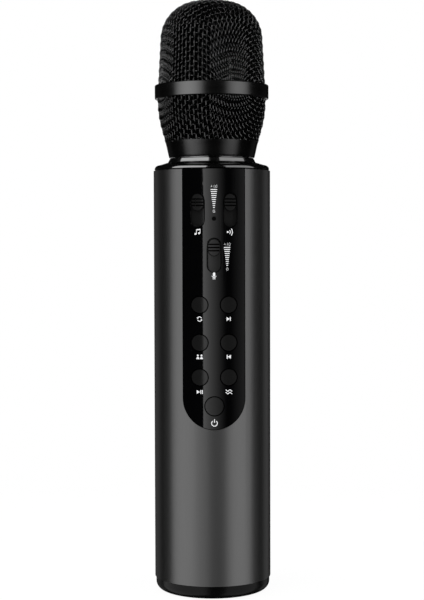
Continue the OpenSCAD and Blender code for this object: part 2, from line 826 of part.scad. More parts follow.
module lever(i) {
  x = slider_places[i][0];
  z = slider_places[i][1] + knob_rise;
  color("#8f9093") box([x - lever_w / 2, lever_tip, z - lever_len / 2],
                       [x + lever_w / 2, lever_foot, z + lever_len / 2]);
}

module shoulder_ring() {
  rim = tube_r - shoulder_inset;
  edge_r = rim - shoulder_edge_r;
  hole_r = thread_r + fit_gap;
  color("#141415") rotate_extrude() {
    intersection() {
      translate([edge_r, shoulder_edge_z]) circle(r = shoulder_edge_r);
      translate([edge_r, shoulder_edge_z]) square(shoulder_edge_r);
    }
    polygon([[hole_r, tube_top], [rim - shoulder_seam_d, tube_top], [rim, shoulder_edge_z],
             [edge_r, shoulder_edge_z], [edge_r, shoulder_edge_z + shoulder_edge_r],
             [neck_d / 2, shoulder_high], [hole_r, shoulder_high]]);
    translate([spigot_r - spigot_wall, tube_top - shoulder_spigot_h])
      square([spigot_wall, shoulder_spigot_h + shoulder_edge_r / 2]);
  }
}

module neck_ring() {
  color("#141415") rotate_extrude() polygon([
    [thread_ir, neck_low], [thread_r, neck_low], [thread_r, shoulder_high], [neck_d / 2, shoulder_high],
    [neck_top_d / 2, neck_high - neck_bevel], [neck_top_d / 2 - neck_bevel, neck_high],
    [thread_r, neck_high], [thread_r, thread_high], [thread_ir, thread_high]]);
}

module neck_nut() {
  notches = 6;
  notch_r = 1.6;
  color("#9b9ca0") difference() {
    ring(thread_r + nut_w, thread_r + fit_gap, neck_low, tube_top);
    for (i = [0 : notches - 1]) rotate([0, 0, i * 360 / notches])
      translate([thread_r + nut_w, 0, neck_low - over]) cylinder(r = notch_r, h = nut_h + 2 * over);
  }
}

module capsule_holder() {
  lead_r = 3;
  vent_w = 3;
  skirt_r = thread_ir - fit_gap;
  color("#2a2a2c") difference() {
    union() {
      ring(skirt_r, skirt_r - holder_wall, thread_high - holder_skirt_h, cup_low);
      ring(thread_r - fit_gap, lead_r, thread_high, cup_low);
      ring(cup_r, shock_r + fit_gap, cup_low - fit_gap, cup_high);
      ring(cup_r, lead_r, cup_low - fit_gap, cup_low + cup_floor_t);
    }
    for (turn = [0, 90, 180, 270]) rotate([0, 0, turn])
      box([shock_r, -vent_w / 2, cup_low + holder_h / 2], [cup_r + over, vent_w / 2, cup_high + over]);
  }
}

module shock_mount() {
  waist_depth = shock_t / 3;
  waist_half = shock_h / 10;
  waist_z = shock_low + shock_h / 2;
  color("#0f0f10") difference() {
    ring(shock_r, capsule_r + fit_gap, shock_low, shock_low + shock_h);
    ring(shock_r + over, shock_r - waist_depth, waist_z - waist_half, waist_z + waist_half);
  }
}

module mic_capsule() {
  rim_drop = 3.5;
  rim_out = 0.5;
  color("#a9aaad") difference() {
    rotate_extrude() {
      translate([0, capsule_low]) square([capsule_r, capsule_h]);
      translate([0, capsule_high - rim_drop]) square([capsule_r + rim_out, rim_drop]);
    }
    translate([0, 0, capsule_high - screen_t])
      cylinder(r = capsule_r - screen_inset + fit_gap, h = screen_t + over);
  }
}

module capsule_screen() {
  hole_r = 0.6;
  hole_pitch = 2.6;
  rings = floor((capsule_r - screen_inset - hole_r) / hole_pitch);
  color("#55565a") translate([0, 0, capsule_high - screen_t]) difference() {
    cylinder(r = capsule_r - screen_inset, h = screen_t);
    for (k = [1 : rings]) for (i = [0 : 6 * k - 1]) rotate([0, 0, i * 60 / k])
      translate([k * hole_pitch, 0, -over]) cylinder(r = hole_r, h = screen_t + 2 * over, $fn = 24);
  }
}

// Half outline of the lower grille, drawn in by a wall's thickness
module bowl_outline(off, high = seam_z) {
  intersection() {
    translate([0, collar_high]) square([tube_d, high - collar_high]);
    union() {
      translate(bowl_centre) circle(r = bowl_bulge_r - off);
      polygon([[0, collar_high], [bowl_foot_r - off / cos(bowl_flare), collar_high],
               bowl_centre + (bowl_bulge_r - off) * bowl_normal, [0, bowl_centre[1]]]);
      translate([0, bowl_centre[1]]) square([rim_r - off, max(high - bowl_centre[1], over)]);
    }
  }
}

// Half outline of the upper grille, drawn in by a wall's thickness
module dome_outline(off) {
  intersection() {
    translate([0, seam_z]) square([tube_d, apex_z - seam_z]);
    union() {
      translate(corner_centre) circle(r = dome_corner_r - off);
      polygon([[0, seam_z], [side_r(seam_z, off), seam_z],
               corner_centre + (dome_corner_r - off) * side_normal, corner_centre, [0, corner_z]]);
      intersection() {
        translate([0, crown_z]) circle(r = dome_crown_r - off);
        polygon([[0, corner_z], corner_centre, corner_centre + tube_d * crown_normal, [0, apex_z + tube_d]]);
      }
    }
  }
}

// A row of openings between wires, cut by an outline that is swept about the axis
module opening_row(count, r) {
  step = 360 / count;
  bar = asin(wire_w / r / 2) * 2;
  for (i = [0 : count - 1]) rotate([0, 0, i * step + bar / 2]) rotate_extrude(angle = step - bar) children();
}

module foam_liner() {
  color("#0b0b0c") rotate_extrude() {
    intersection() {
      difference() {
        bowl_outline(foam_off, seam_z + over);
        bowl_outline(foam_off + foam_t, seam_z + over);
        square([cup_r + run_gap, cup_high + run_gap]);
      }
      translate([0, foam_low]) square([tube_d, apex_z]);
    }
    difference() {
      dome_outline(foam_off);
      dome_outline(foam_off + foam_t);
    }
  }
}

module grille_collar() {
  color("#151516") rotate_extrude() polygon([
    [collar_ir, neck_high + run_gap], [collar_lip_r, neck_high + run_gap], [collar_d / 2, collar_low],
    [collar_top_d / 2, collar_high], [collar_ir, collar_high]]);
}

module lower_grille() {
  low = collar_high + foot_band;
  high = band_low - grille_rim_h;
  rows = floor((high - low + wire_w) / grille_pitch);
  pitch = (high - low + wire_w) / rows;
  color("#1b1b1c") difference() {
    rotate_extrude() difference() {
      bowl_outline(0);
      bowl_outline(grille_t);
    }
    for (k = [0 : rows - 1]) opening_row(grille_columns, rim_r)
      translate([rim_r / 2, low + k * pitch]) square([rim_r, pitch - wire_w]);
  }
}

module grille_band() {
  inner = rim_r + fit_gap;
  edge = min(band_edge_r, (band_r - inner) / 2);
  color("#161617") rotate_extrude() {
    translate([inner, band_low]) square([band_r - edge - inner, band_h]);
    translate([inner, band_low + edge]) square([band_r - inner, band_h - 2 * edge]);
    for (z = [band_low + edge, band_high - edge]) translate([band_r - edge, z]) circle(r = edge);
  }
}

module upper_grille() {
  low = band_high + grille_rim_h;
  high = corner_z + dome_corner_r * sin(corner_from);
  rows = floor((high - low) / grille_pitch);
  pitch = (high - low) / rows;
  arc_step = grille_pitch / dome_corner_r * 180 / PI;
  arc_rows = floor((corner_to - corner_from) / arc_step);
  arc_pitch = (corner_to - corner_from) / arc_rows;
  arc_bar = wire_w / dome_corner_r * 180 / PI;
  wide_rows = arc_rows - 2;
  crown_r = corner_centre[0] + dome_corner_r * cos(corner_to);
  crown_rings = floor(crown_r / grille_pitch);
  crown_pitch = crown_r / crown_rings;
  inner_openings = 5;
  bar_place = 0.7;
  cut = 2 * grille_t;
  color("#1b1b1c") difference() {
    rotate_extrude() difference() {
      dome_outline(0);
      dome_outline(grille_t);
    }
    for (k = [0 : rows - 1]) opening_row(grille_columns, rim_r)
      translate([rim_r / 2, low + k * pitch]) square([rim_r, pitch - wire_w]);
    for (k = [0 : arc_rows - 1]) {
      from = corner_from + k * arc_pitch + arc_bar / 2;
      to = from + arc_pitch - arc_bar;
      count = k < wide_rows ? grille_columns : grille_columns / 2;
      opening_row(count, corner_centre[0] + dome_corner_r * cos(from))
        polygon([for (ray = [[from, -1], [from, 1], [to, 1], [to, -1]])
                 corner_centre + (dome_corner_r + ray[1] * cut) * [cos(ray[0]), sin(ray[0])]]);
    }
    for (k = [0 : crown_rings - 1]) opening_row(inner_openings * (k + 1), (k + bar_place) * crown_pitch)
      translate([k * crown_pitch + wire_w / 2, corner_z]) square([crown_pitch - wire_w, tube_d]);
  }
}

base_cap();
base_screws();
speaker_grille();
speaker_gasket();
speaker_basket();
speaker_magnet();
speaker_surround();
speaker_cone();
voice_coil();
body_tube();
inner_frame();
port_board();
usb_port();
audio_jack();
battery_cell();
main_board();
board_screws();
tact_switches();
fader_bodies();
indicator_led();
light_pipe();
control_panel();
for (i = [0 : len(button_names) - 1]) {
  button(i);
  plunger(i);
}
for (i = [0 : len(slider_names) - 1]) {
  slider(i);
  lever(i);
}
shoulder_ring();
neck_ring();
neck_nut();
capsule_holder();
shock_mount();
mic_capsule();
capsule_screen();
foam_liner();
grille_collar();
lower_grille();
grille_band();
upper_grille();
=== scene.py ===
"""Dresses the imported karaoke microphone: woven wire head, anodised tube, gloss panel and its print."""

from __future__ import annotations

import json
import logging
import math
from contextlib import contextmanager
from dataclasses import dataclass, field
from enum import Enum
from typing import Any, Iterator, Optional, Sequence

import bpy
import numpy as np
from bpy.types import Collection, Light, Material, Mesh, MeshPolygon, Node, NodeSocket, NodeTree, Object
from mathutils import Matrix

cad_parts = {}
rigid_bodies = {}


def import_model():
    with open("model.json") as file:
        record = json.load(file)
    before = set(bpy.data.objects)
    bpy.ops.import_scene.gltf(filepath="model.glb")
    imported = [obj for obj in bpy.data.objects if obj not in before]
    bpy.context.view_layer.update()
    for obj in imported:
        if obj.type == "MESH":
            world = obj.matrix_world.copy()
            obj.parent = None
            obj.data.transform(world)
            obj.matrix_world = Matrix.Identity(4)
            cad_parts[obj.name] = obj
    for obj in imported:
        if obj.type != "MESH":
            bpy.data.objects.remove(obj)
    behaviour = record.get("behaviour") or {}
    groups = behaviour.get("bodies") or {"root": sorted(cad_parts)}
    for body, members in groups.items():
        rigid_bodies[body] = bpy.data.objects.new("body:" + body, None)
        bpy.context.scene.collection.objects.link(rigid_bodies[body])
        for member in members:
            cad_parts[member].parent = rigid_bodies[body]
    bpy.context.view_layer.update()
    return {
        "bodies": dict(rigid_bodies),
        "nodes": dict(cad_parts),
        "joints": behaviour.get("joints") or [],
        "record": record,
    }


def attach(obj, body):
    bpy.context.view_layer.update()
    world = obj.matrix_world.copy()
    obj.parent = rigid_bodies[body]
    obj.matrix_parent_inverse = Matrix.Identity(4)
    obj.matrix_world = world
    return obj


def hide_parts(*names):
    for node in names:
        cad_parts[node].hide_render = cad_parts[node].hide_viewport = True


LOG = logging.getLogger("microphone")
MM = 0.001
# Radii about the tube's axis: the panel's front, the knobs' front and the shields behind the panel
PANEL_MM, KNOB_MM, SHIELD_MM = 25.95, 26.0, 23.3
# Middles of the sliders' slots in the panel, by the slider's name
SLOTS = {"music": (-7.1, 169.6), "echo": (7.1, 169.6), "mic": (0.0, 150.1)}
# Width of the print's lines and thickness of its film
LINE_MM, FILM_MM = 0.34, 0.03
Point = tuple[float, float]


def linear(colour: str, share: float = 1.0) -> tuple[float, float, float, float]:
    """Turns an sRGB hex colour into linear values.

    Args:
        colour: six hex digits after a hash.
        share: how much lighter or darker the colour is made.

    Returns:
        Red, green, blue and an alpha of one.
    """
    channels = [int(colour[i:i + 2], 16) / 255 for i in (1, 3, 5)]
    values = [c / 12.92 if c <= 0.04045 else ((c + 0.055) / 1.055) ** 2.4 for c in channels]
    return (*(min(value * share, 1.0) for value in values), 1.0)


def add_node(tree: NodeTree, kind: str, inputs: Optional[dict[Any, Any]] = None, **settings: Any) -> Node:
    """Adds one shader node with its input values, its links and its settings.

    Args:
        tree: the node tree that gets the node.
        kind: the node's type name, after ShaderNode.
        inputs: values or source sockets, by input name or number.
        settings: properties of the node.

    Returns:
        The new node.
    """
    node = tree.nodes.new("ShaderNode" + kind)
    for name, value in settings.items():
        setattr(node, name, value)
    for name, value in (inputs or {}).items():
        if isinstance(value, NodeSocket):
            tree.links.new(value, node.inputs[name])
        else:
            node.inputs[name].default_value = value
    return node


class Grain(Enum):
    """The way a surface's texture runs, as the pattern's stretch along X, Y and Z."""

    EVEN = (1.0, 1.0, 1.0)
    DRAWN = (1.0, 1.0, 0.02)
    TURNED = (0.03, 0.03, 1.0)


class Pattern(Enum):
    """What a surface's texture is made of."""

    NOISE = "TexNoise"
    CELLS = "TexVoronoi"


@dataclass(frozen=True)
class Finish:
    """A finish: the shader's plain values and the fine texture that breaks them up."""

    name: str
    colour: str
    roughness: float
    metallic: float = 0.0
    ior: float = 1.5
    specular: float = 0.5
    coat: float = 0.0
    sheen: float = 0.0
    grain: Grain = Grain.EVEN
    pattern: Pattern = Pattern.NOISE
    grain_mm: float = 0.3
    tint: float = 0.1
    uneven: float = 0.04
    relief_mm: float = 0.004
    # Radii about the axis, in millimetres, between which shade is painted: the colour goes black and dull
    # there
    painted_shade_mm: Optional[Point] = None

    def material(self) -> Material:
        """Makes the finish's material once, and then shares it.

        Returns:
            The material.
        """
        found = bpy.data.materials.get(self.name)
        if found is not None:
            return found
        made = bpy.data.materials.new(self.name)
        made.use_nodes = True
        tree = made.node_tree
        shader = tree.nodes["Principled BSDF"]
        for socket, value in (("Metallic", self.metallic), ("IOR", self.ior), ("Coat Weight", self.coat),
                              ("Specular IOR Level", self.specular), ("Sheen Weight", self.sheen)):
            shader.inputs[socket].default_value = value
        place = add_node(tree, "TexCoord").outputs["Object"]
        # One unit of the pattern is grain_mm wide, and the broad patches are about fourteen units
        pitch = 1.0 / (self.grain_mm * MM)
        mapped = add_node(tree, "Mapping", {"Vector": place,
                                            "Scale": [pitch * s for s in self.grain.value]}).outputs[0]
        fine = add_node(tree, self.pattern.value, {"Vector": mapped, "Scale": 1.0}).outputs[0]
        broad = add_node(tree, "TexNoise", {"Vector": mapped, "Scale": 0.07, "Detail": 3.0}).outputs[0]
        tone = add_node(tree, "Mix", {0: fine, 6: linear(self.colour, 1 - self.tint),
                                      7: linear(self.colour, 1 + self.tint)}, data_type="RGBA").outputs[2]
        # Paints shade in the given band of radii, where the gaps round the controls lie
        if self.painted_shade_mm is not None:
            tone = self.paint_gap_shade(tree, place, tone, shader)
        tree.links.new(tone, shader.inputs["Base Color"])
        rough = add_node(tree, "MapRange", {"Value": broad, "From Min": 0.3, "From Max": 0.7,
                                            "To Min": max(self.roughness - self.uneven, 0.02),
                                            "To Max": min(self.roughness + self.uneven, 1.0)}).outputs[0]
        tree.links.new(rough, shader.inputs["Roughness"])
        relief = add_node(tree, "Bump", {"Height": fine, "Strength": 0.6,
                                         "Distance": self.relief_mm * MM}).outputs[0]
        tree.links.new(relief, shader.inputs["Normal"])
        return made

    def paint_gap_shade(self, tree: NodeTree, place: NodeSocket, tone: NodeSocket, shader: Node) -> NodeSocket:
        """Paints shade on the moulded sides in the gap round a control: they show black and dull, as painted
        shade.

        Args:
            tree: the material's nodes.
            place: the point's place on the piece.
            tone: the colour outside the gap.
            shader: the node whose mirror-like share is taken away in the gap, as part of the painted shade.

        Returns:
            The colour with the painted shade of the gap in it.
        """
        low, high = self.painted_shade_mm
        half, blend = (high - low) / 2, 0.05
        level = add_node(tree, "VectorMath", {0: place, 1: (1.0, 1.0, 0.0)}, operation="MULTIPLY").outputs[0]
        reach = add_node(tree, "VectorMath", {0: level}, operation="LENGTH").outputs["Value"]
        off = add_node(tree, "Math", {0: reach, 1: (low + high) / 2 * MM}, operation="SUBTRACT").outputs[0]
        far = add_node(tree, "Math", {0: off}, operation="ABSOLUTE").outputs[0]
        clear = add_node(tree, "MapRange", {"Value": far, "From Min": (half - blend) * MM,
                                            "From Max": (half + blend) * MM}).outputs[0]
        gloss = add_node(tree, "Math", {0: clear, 1: self.specular}, operation="MULTIPLY").outputs[0]
        tree.links.new(gloss, shader.inputs["Specular IOR Level"])
        # Near black where the shade is painted
        return add_node(tree, "Mix", {0: clear, 6: linear("#020202"), 7: tone}, data_type="RGBA").outputs[2]


# Finishes by the record's material slot
FINISHES: dict[str, Finish] = {
    # Anodised aluminium, bead blasted: a soft, wide metal sheen with a faint drawn grain
    "anodised_tube": Finish("anodised aluminium", "#6f6f6f", 0.34, metallic=1.0, grain=Grain.DRAWN,
                            grain_mm=0.35, tint=0.05, uneven=0.02, relief_mm=0.001),
    # Polished ABS: near black, with mirror-like reflections at its surface
    "gloss_panel": Finish("polished black plastic", "#060607", 0.07, grain_mm=4.0, uneven=0.015,
                          relief_mm=0.0006),
    # Black chrome on turned metal: sharp dark reflections
    "gloss_trim": Finish("black chrome", "#a4a4a4", 0.1, metallic=1.0, grain=Grain.TURNED, tint=0.04,
                         uneven=0.02, relief_mm=0.0004),
    # Moulded ABS with a fine spark-eroded grain: soft and dark
    "satin_cap": Finish("moulded black plastic", "#080808", 0.24, specular=0.2, grain_mm=0.4, tint=0.15,
                        relief_mm=0.003),
    # Satin ABS of the controls: a little lighter than the panel, with a faint grain; below the panel's face
    # it is painted black and dull, as shade in the gaps round the buttons
    "control_plastic": Finish("satin black plastic", "#222222", 0.15, specular=0.32, grain_mm=0.35, tint=0.12,
                              uneven=0.02, relief_mm=0.001, painted_shade_mm=(0.0, 25.8)),
    # Steel wire with a baked black coat: dark, with a short bright dash where each wire bows out
    "painted_wire": Finish("black-coated wire", "#6c6c6c", 0.16, metallic=1.0, grain_mm=0.12, tint=0.06,
                           uneven=0.02, relief_mm=0.0005),
    # Satin paint on turned metal: soft patches of light round the ring
    "painted_ring": Finish("satin black paint", "#030303", 0.22, specular=0.75, grain=Grain.TURNED,
                           grain_mm=0.4, tint=0.08, uneven=0.03, relief_mm=0.001),
    # Open-cell foam: takes nearly all light, with pores as dark cells
    "foam": Finish("open-cell foam", "#030303", 0.95, specular=0.05, pattern=Pattern.CELLS,
                   grain_mm=0.7, tint=0.5, uneven=0.03, relief_mm=0.2),
    # Moulded rubber: dull, with a faint bloom
    "black_rubber": Finish("moulded rubber", "#141414", 0.62, sheen=0.1, grain_mm=0.5, tint=0.15,
                           relief_mm=0.01),
    # Zinc-plated steel: pale grey with a cool cast
    "plain_steel": Finish("zinc-plated steel", "#b4b5b6", 0.32, metallic=1.0, grain=Grain.TURNED,
                          grain_mm=0.2, tint=0.08, relief_mm=0.002),
    # Phosphated steel: dark grey and dull
    "dark_steel": Finish("phosphated steel", "#3c3d40", 0.5, metallic=0.8, tint=0.15),
    # Nickel plating: bright, slightly warm
    "nickel": Finish("nickel plating", "#c0bdb6", 0.2, metallic=1.0, grain_mm=0.5, tint=0.05,
                     relief_mm=0.001),
    # Solder mask on glass-fibre board: deep green with a wet sheen over the weave
    "board_green": Finish("solder-masked board", "#0f4a26", 0.35, coat=0.3, grain_mm=0.8, tint=0.2),
    # Shrink wrap over a steel can: even blue with a film's gloss
    "cell_wrap": Finish("shrink wrap", "#2f62a6", 0.25, grain_mm=1.5, tint=0.06),
    # Moulded ABS frame: plain mid grey
    "frame_plastic": Finish("moulded grey plastic", "#77797b", 0.5, grain_mm=0.6, tint=0.06),
    # Pressed paper: dull black with fibres
    "cone_paper": Finish("pressed paper", "#1a1a1b", 0.8, specular=0.3, grain_mm=0.25, tint=0.3,
                         relief_mm=0.02),
    # Enamelled copper winding: warm metal with the turns as fine lines
    "copper_wire": Finish("enamelled copper", "#b9683a", 0.28, metallic=1.0, grain=Grain.TURNED,
                          grain_mm=0.25, tint=0.2, relief_mm=0.02),
    # Natural nylon: ivory and waxy; the levers' tips, which show through the knobs' grooves, are painted
    # black as shade in the grooves
    "pale_plastic": Finish("natural nylon", "#cbc6b8", 0.45, grain_mm=0.6, tint=0.04, painted_shade_mm=(23.6, 26.0)),
    # Smoked acrylic: dark, polished at its end; its near-black colour and damped reflection are partly the
    # smoked plastic and partly painted shade of the indicator's hole
    "pipe_clear": Finish("smoked acrylic", "#020202", 0.35, specular=0.06, ior=1.49, grain_mm=1.0, tint=0.05,
                         uneven=0.01, relief_mm=0.0005),
}

# Satin ABS of the sliders: the shield behind the slot is as light as the knob; the knobs' grooves and sides
# are painted black and dull, as shade
SLIDER = Finish("satin slider plastic", "#282828", 0.17, specular=0.32, grain_mm=0.35, tint=0.12,
                uneven=0.02, relief_mm=0.001, painted_shade_mm=(SHIELD_MM + 0.15, 25.8))

# Screen-printed ink: flat, slightly uneven white
INK = Finish("screen-printed ink", "#e4e5e6", 0.55, specular=0.3, grain_mm=0.12, tint=0.04,
             uneven=0.05, relief_mm=0.002)


def deselect_all() -> None:
    """Leaves object mode clean, with nothing selected."""
    if bpy.context.object is not None and bpy.context.object.mode != "OBJECT":
        bpy.ops.object.mode_set(mode="OBJECT")
    bpy.ops.object.select_all(action="DESELECT")


def pick(obj: Object) -> None:
    """Makes one object the only selected and active one.

    Args:
        obj: the object.
    """
    deselect_all()
    obj.select_set(True)
    bpy.context.view_layer.objects.active = obj


def add_modifier(obj: Object, kind: str, **settings: Any) -> None:
    """Adds a modifier with its settings and applies it.

    Args:
        obj: the mesh object that is changed.
        kind: the modifier's type name.
        settings: the modifier's properties.
    """
    pick(obj)
    modifier = obj.modifiers.new(kind.title(), kind)
    for name, value in settings.items():
        setattr(modifier, name, value)
    bpy.ops.object.modifier_apply(modifier=modifier.name)


@contextmanager
def edit_mode(obj: Object, everything: bool = True) -> Iterator[None]:
    """Opens an object in edit mode for the operators that follow, and closes it after them.

    Args:
        obj: the mesh object that is changed.
        everything: whether the whole mesh is selected first.
    """
    pick(obj)
    bpy.ops.object.mode_set(mode="EDIT")
    if everything:
        bpy.ops.mesh.select_all(action="SELECT")
    yield
    bpy.ops.object.mode_set(mode="OBJECT")


def coat(obj: Object, finish: Finish) -> None:
    """Gives an object one finish all over."""
    obj.data.materials.clear()
    obj.data.materials.append(finish.material())


def mesh_object(name: str, points: np.ndarray, faces: Sequence[Sequence[int]],
                edges: Sequence[Sequence[int]] = ()) -> Object:
    """Makes a mesh object at the origin from points in millimetres.

    Args:
        name: the piece's name.
        points: rows of X, Y and Z.
        faces: corner numbers of each face.
        edges: end numbers of each edge, where there are no faces yet.

    Returns:
        The new object, linked to the scene.
    """
    mesh = bpy.data.meshes.new(name)
    mesh.from_pydata((np.asarray(points) * MM).tolist(), [list(e) for e in edges], [list(f) for f in faces])
    mesh.update()
    obj = bpy.data.objects.new(name, mesh)
    bpy.context.scene.collection.objects.link(obj)
    return obj


def settle(obj: Object, name: str, body: str, finish: Finish, smooth: float = 35.0) -> Object:
    """Finishes a new piece: smooth shading, finish and body.

    Args:
        obj: the piece, with its place in its mesh.
        name: the piece's name.
        body: the CAD body that carries it.
        finish: the finish it shows.
        smooth: the angle in degrees up to which edges are shaded smooth.

    Returns:
        The same object.
    """
    pick(obj)
    obj.name = name
    bpy.ops.object.shade_smooth_by_angle(angle=math.radians(smooth))
    coat(obj, finish)
    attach(obj, body)
    LOG.info("%s: %d faces on %s", name, len(obj.data.polygons), body)
    return obj


@dataclass
class Profile:
    """Half outline of a turned surface, as rows of radius and height from the axis outwards."""

    line: np.ndarray
    outward: float

    def __post_init__(self) -> None:
        """Works out the length along the outline."""
        self.radii, self.heights = np.ascontiguousarray(self.line.T)
        self.lengths = np.concatenate([[0.0], np.cumsum(np.hypot(*np.diff(self.line, axis=0).T))])

    def point(self, length: float, turn: float) -> np.ndarray:
        """Finds a point of the surface.

        Args:
            length: its length along the outline from the axis.
            turn: its turn about the axis, in radians.

        Returns:
            Its X, Y and Z.
        """
        radius = float(np.interp(length, self.lengths, self.radii))
        height = float(np.interp(length, self.lengths, self.heights))
        return np.array([radius * math.cos(turn), radius * math.sin(turn), height])

    def nearest(self, points: np.ndarray) -> tuple[np.ndarray, np.ndarray]:
        """Moves points on to the surface.

        Args:
            points: rows of X, Y and Z.

        Returns:
            The moved points, and the surface's outward normals there.
        """
        radius = np.hypot(points[:, 0], points[:, 1])
        gap = (self.radii[None, :] - radius[:, None]) ** 2
        gap += (self.heights[None, :] - points[:, 2][:, None]) ** 2
        k = np.clip(gap.argmin(1), 1, len(self.radii) - 2)
        start = np.stack([self.radii[k - 1], self.heights[k - 1]], 1)
        along = np.stack([self.radii[k + 1], self.heights[k + 1]], 1) - start
        share = ((np.stack([radius, points[:, 2]], 1) - start) * along).sum(1) / (along ** 2).sum(1)
        place = start + share[:, None] * along
        along = along / np.linalg.norm(along, axis=1)[:, None]
        unit = points[:, :2] / np.maximum(radius, 1e-9)[:, None]
        moved = np.column_stack([unit * place[:, :1], place[:, 1]])
        normal = np.column_stack([unit * (-along[:, 1:] * self.outward), along[:, 0] * self.outward])
        return moved, normal


@dataclass
class WovenSheet:
    """Plain-woven wire, drawn over a turned form: the wires keep their length and shear at crossings.

    Lengths are in millimetres and angles in degrees. The crimp is how far each family of wires bows out and
    in. The lock is the least angle between wires at the outline's end, and what it gains per millimetre.
    """

    profile: Profile
    low: float
    high: float
    reach: float
    pitch: Point = (2.06, 1.94)
    wire: float = 0.58
    crimp: Point = (0.18, 0.4)
    lock: Point = (17.0, 1.04)
    rounds: int = 160
    heading: float = 26.0

    def marched(self) -> np.ndarray:
        """Lays a quarter of the net crossing by crossing from the pole, each two wire steps apart.

        Returns:
            A square table of points, with gaps where the sheet has ended.
        """
        count = int(self.reach / min(self.pitch)) + 2
        table = np.full((count, count, 3), np.nan)
        lengths = np.full((count, count), np.nan)
        for i in range(count):
            for cell, turn, step in (((i, 0), 0.0, self.pitch[0]), ((0, i), math.pi / 2, self.pitch[1])):
                if i * step < self.reach + step:
                    lengths[cell] = i * step
                    table[cell] = self.profile.point(i * step, turn)
        for total in range(2, 2 * count - 1):
            for i in range(max(1, total - count + 1), min(total, count)):
                j = total - i
                before = (lengths[i - 1, j], lengths[i, j - 1])
                if np.isfinite(before).all():
                    found = self.crossing(table[i - 1, j], table[i, j - 1], table[i - 1, j - 1], max(before))
                    if found is not None and found[0] < self.reach:
                        lengths[i, j] = found[0]
                        table[i, j] = self.profile.point(*found)
        return table

    def crossing(self, left: np.ndarray, right: np.ndarray, back: np.ndarray,
                 length: float) -> Optional[Point]:
        """Finds the point one pitch from two crossings, on the side away from a third.

        Args:
            left: the crossing before it on one wire.
            right: the crossing before it on the other wire.
            back: the crossing that both came from.
            length: a first guess of its length from the pole.

        Returns:
            Its length and turn, or None where the net can't go on.
        """
        guess = left + right - back
        spot = np.array([length, math.atan2(guess[1], guess[0])])
        nudge, close, flat = 1e-4, 1e-6, 1e-9
        stride = np.array([0.5, 0.05])
        for _ in range(40):
            columns = [spot, spot + [nudge, 0], spot + [0, nudge]]
            misses = [np.array([np.linalg.norm(p - left), np.linalg.norm(p - right)]) - self.pitch
                      for p in (self.profile.point(*c) for c in columns)]
            if np.abs(misses[0]).max() < close:
                away = np.linalg.norm(self.profile.point(*spot) - back) > 0.3 * min(self.pitch)
                return (spot[0], spot[1]) if away else None
            slope = np.column_stack([(m - misses[0]) / nudge for m in misses[1:]])
            if abs(np.linalg.det(slope)) < flat:
                return None
            spot = spot + np.clip(np.linalg.solve(slope, -misses[0]), -stride, stride)
        return None

    def eased(self, table: np.ndarray) -> np.ndarray:
        """Eases the net where its wires would lie closer than they can.

        Args:
            table: the marched quarter.

        Returns:
            The quarter with its crossings moved on the surface.
        """
        there = np.isfinite(table[..., 0])
        cells = np.argwhere(there)
        points = table[there].copy()
        number = np.full((len(table) + 1, len(table) + 1), -1)
        number[:-1, :-1][there] = np.arange(len(points))

        def pairs_at(first: tuple[int, int], second: tuple[int, int]) -> np.ndarray:
            """Numbers of the crossings at two steps from each cell, where both are there."""
            ends = np.column_stack([number[tuple((cells + step).T)] for step in (first, second)])
            return ends[(ends >= 0).all(1)]

        across = pairs_at((1, 0), (0, 1))
        rise = np.abs(points[across[:, 0], 2] - self.profile.heights[-1])
        least = sum(self.pitch) * np.sin(np.radians(self.lock[0] + self.lock[1] * rise) / 2)
        pulls = ((pairs_at((0, 0), (1, 0)), self.pitch[0], 0.5, False),
                 (pairs_at((0, 0), (0, 1)), self.pitch[1], 0.5, False), (across, least, 0.75, True))
        for _ in range(self.rounds):
            move = np.zeros_like(points)
            for pairs, target, weight, short_only in pulls:
                span = points[pairs[:, 1]] - points[pairs[:, 0]]
                size = np.linalg.norm(span, axis=1)
                excess = (size - target) / np.maximum(size, 1e-9)
                if short_only:
                    excess = np.minimum(excess, 0.0)
                push = weight * excess[:, None] * span
                np.add.at(move, pairs[:, 0], push)
                np.add.at(move, pairs[:, 1], -push)
            points = points + move / len(pulls)
            points[cells[:, 1] == 0, 1] = 0.0
            points[cells[:, 0] == 0, 0] = 0.0
            points = self.profile.nearest(points)[0]
        out = np.full_like(table, np.nan)
        out[there] = points
        return out

    def paths(self) -> list[np.ndarray]:
        """Runs every wire over and under the others.

        Returns:
            The wires' centre lines.
        """
        quarter = self.eased(self.marched())
        span = np.arange(1 - len(quarter), len(quarter))
        sign = np.where(span < 0, -1.0, 1.0)
        net = quarter[np.abs(span)][:, np.abs(span)].copy()
        net[..., 0] *= sign[:, None]
        net[..., 1] *= sign
        odd = (span[:, None] + span) % 2
        turn = math.radians(-90 - self.heading)
        cos, sin = math.cos(turn), math.sin(turn)
        spin = np.array([[cos, -sin, 0], [sin, cos, 0], [0, 0, 1]])
        lines = []
        for family, wires in enumerate((net.swapaxes(0, 1), net)):
            for nodes, sides in zip(wires, np.where(odd == family, 1, -1) * self.crimp[family]):
                there = np.isfinite(nodes[:, 0])
                if there.sum() > 2:
                    lines += self.runs(nodes[there], sides[there], np.flatnonzero(there))
        return [line @ spin.T for line in lines]

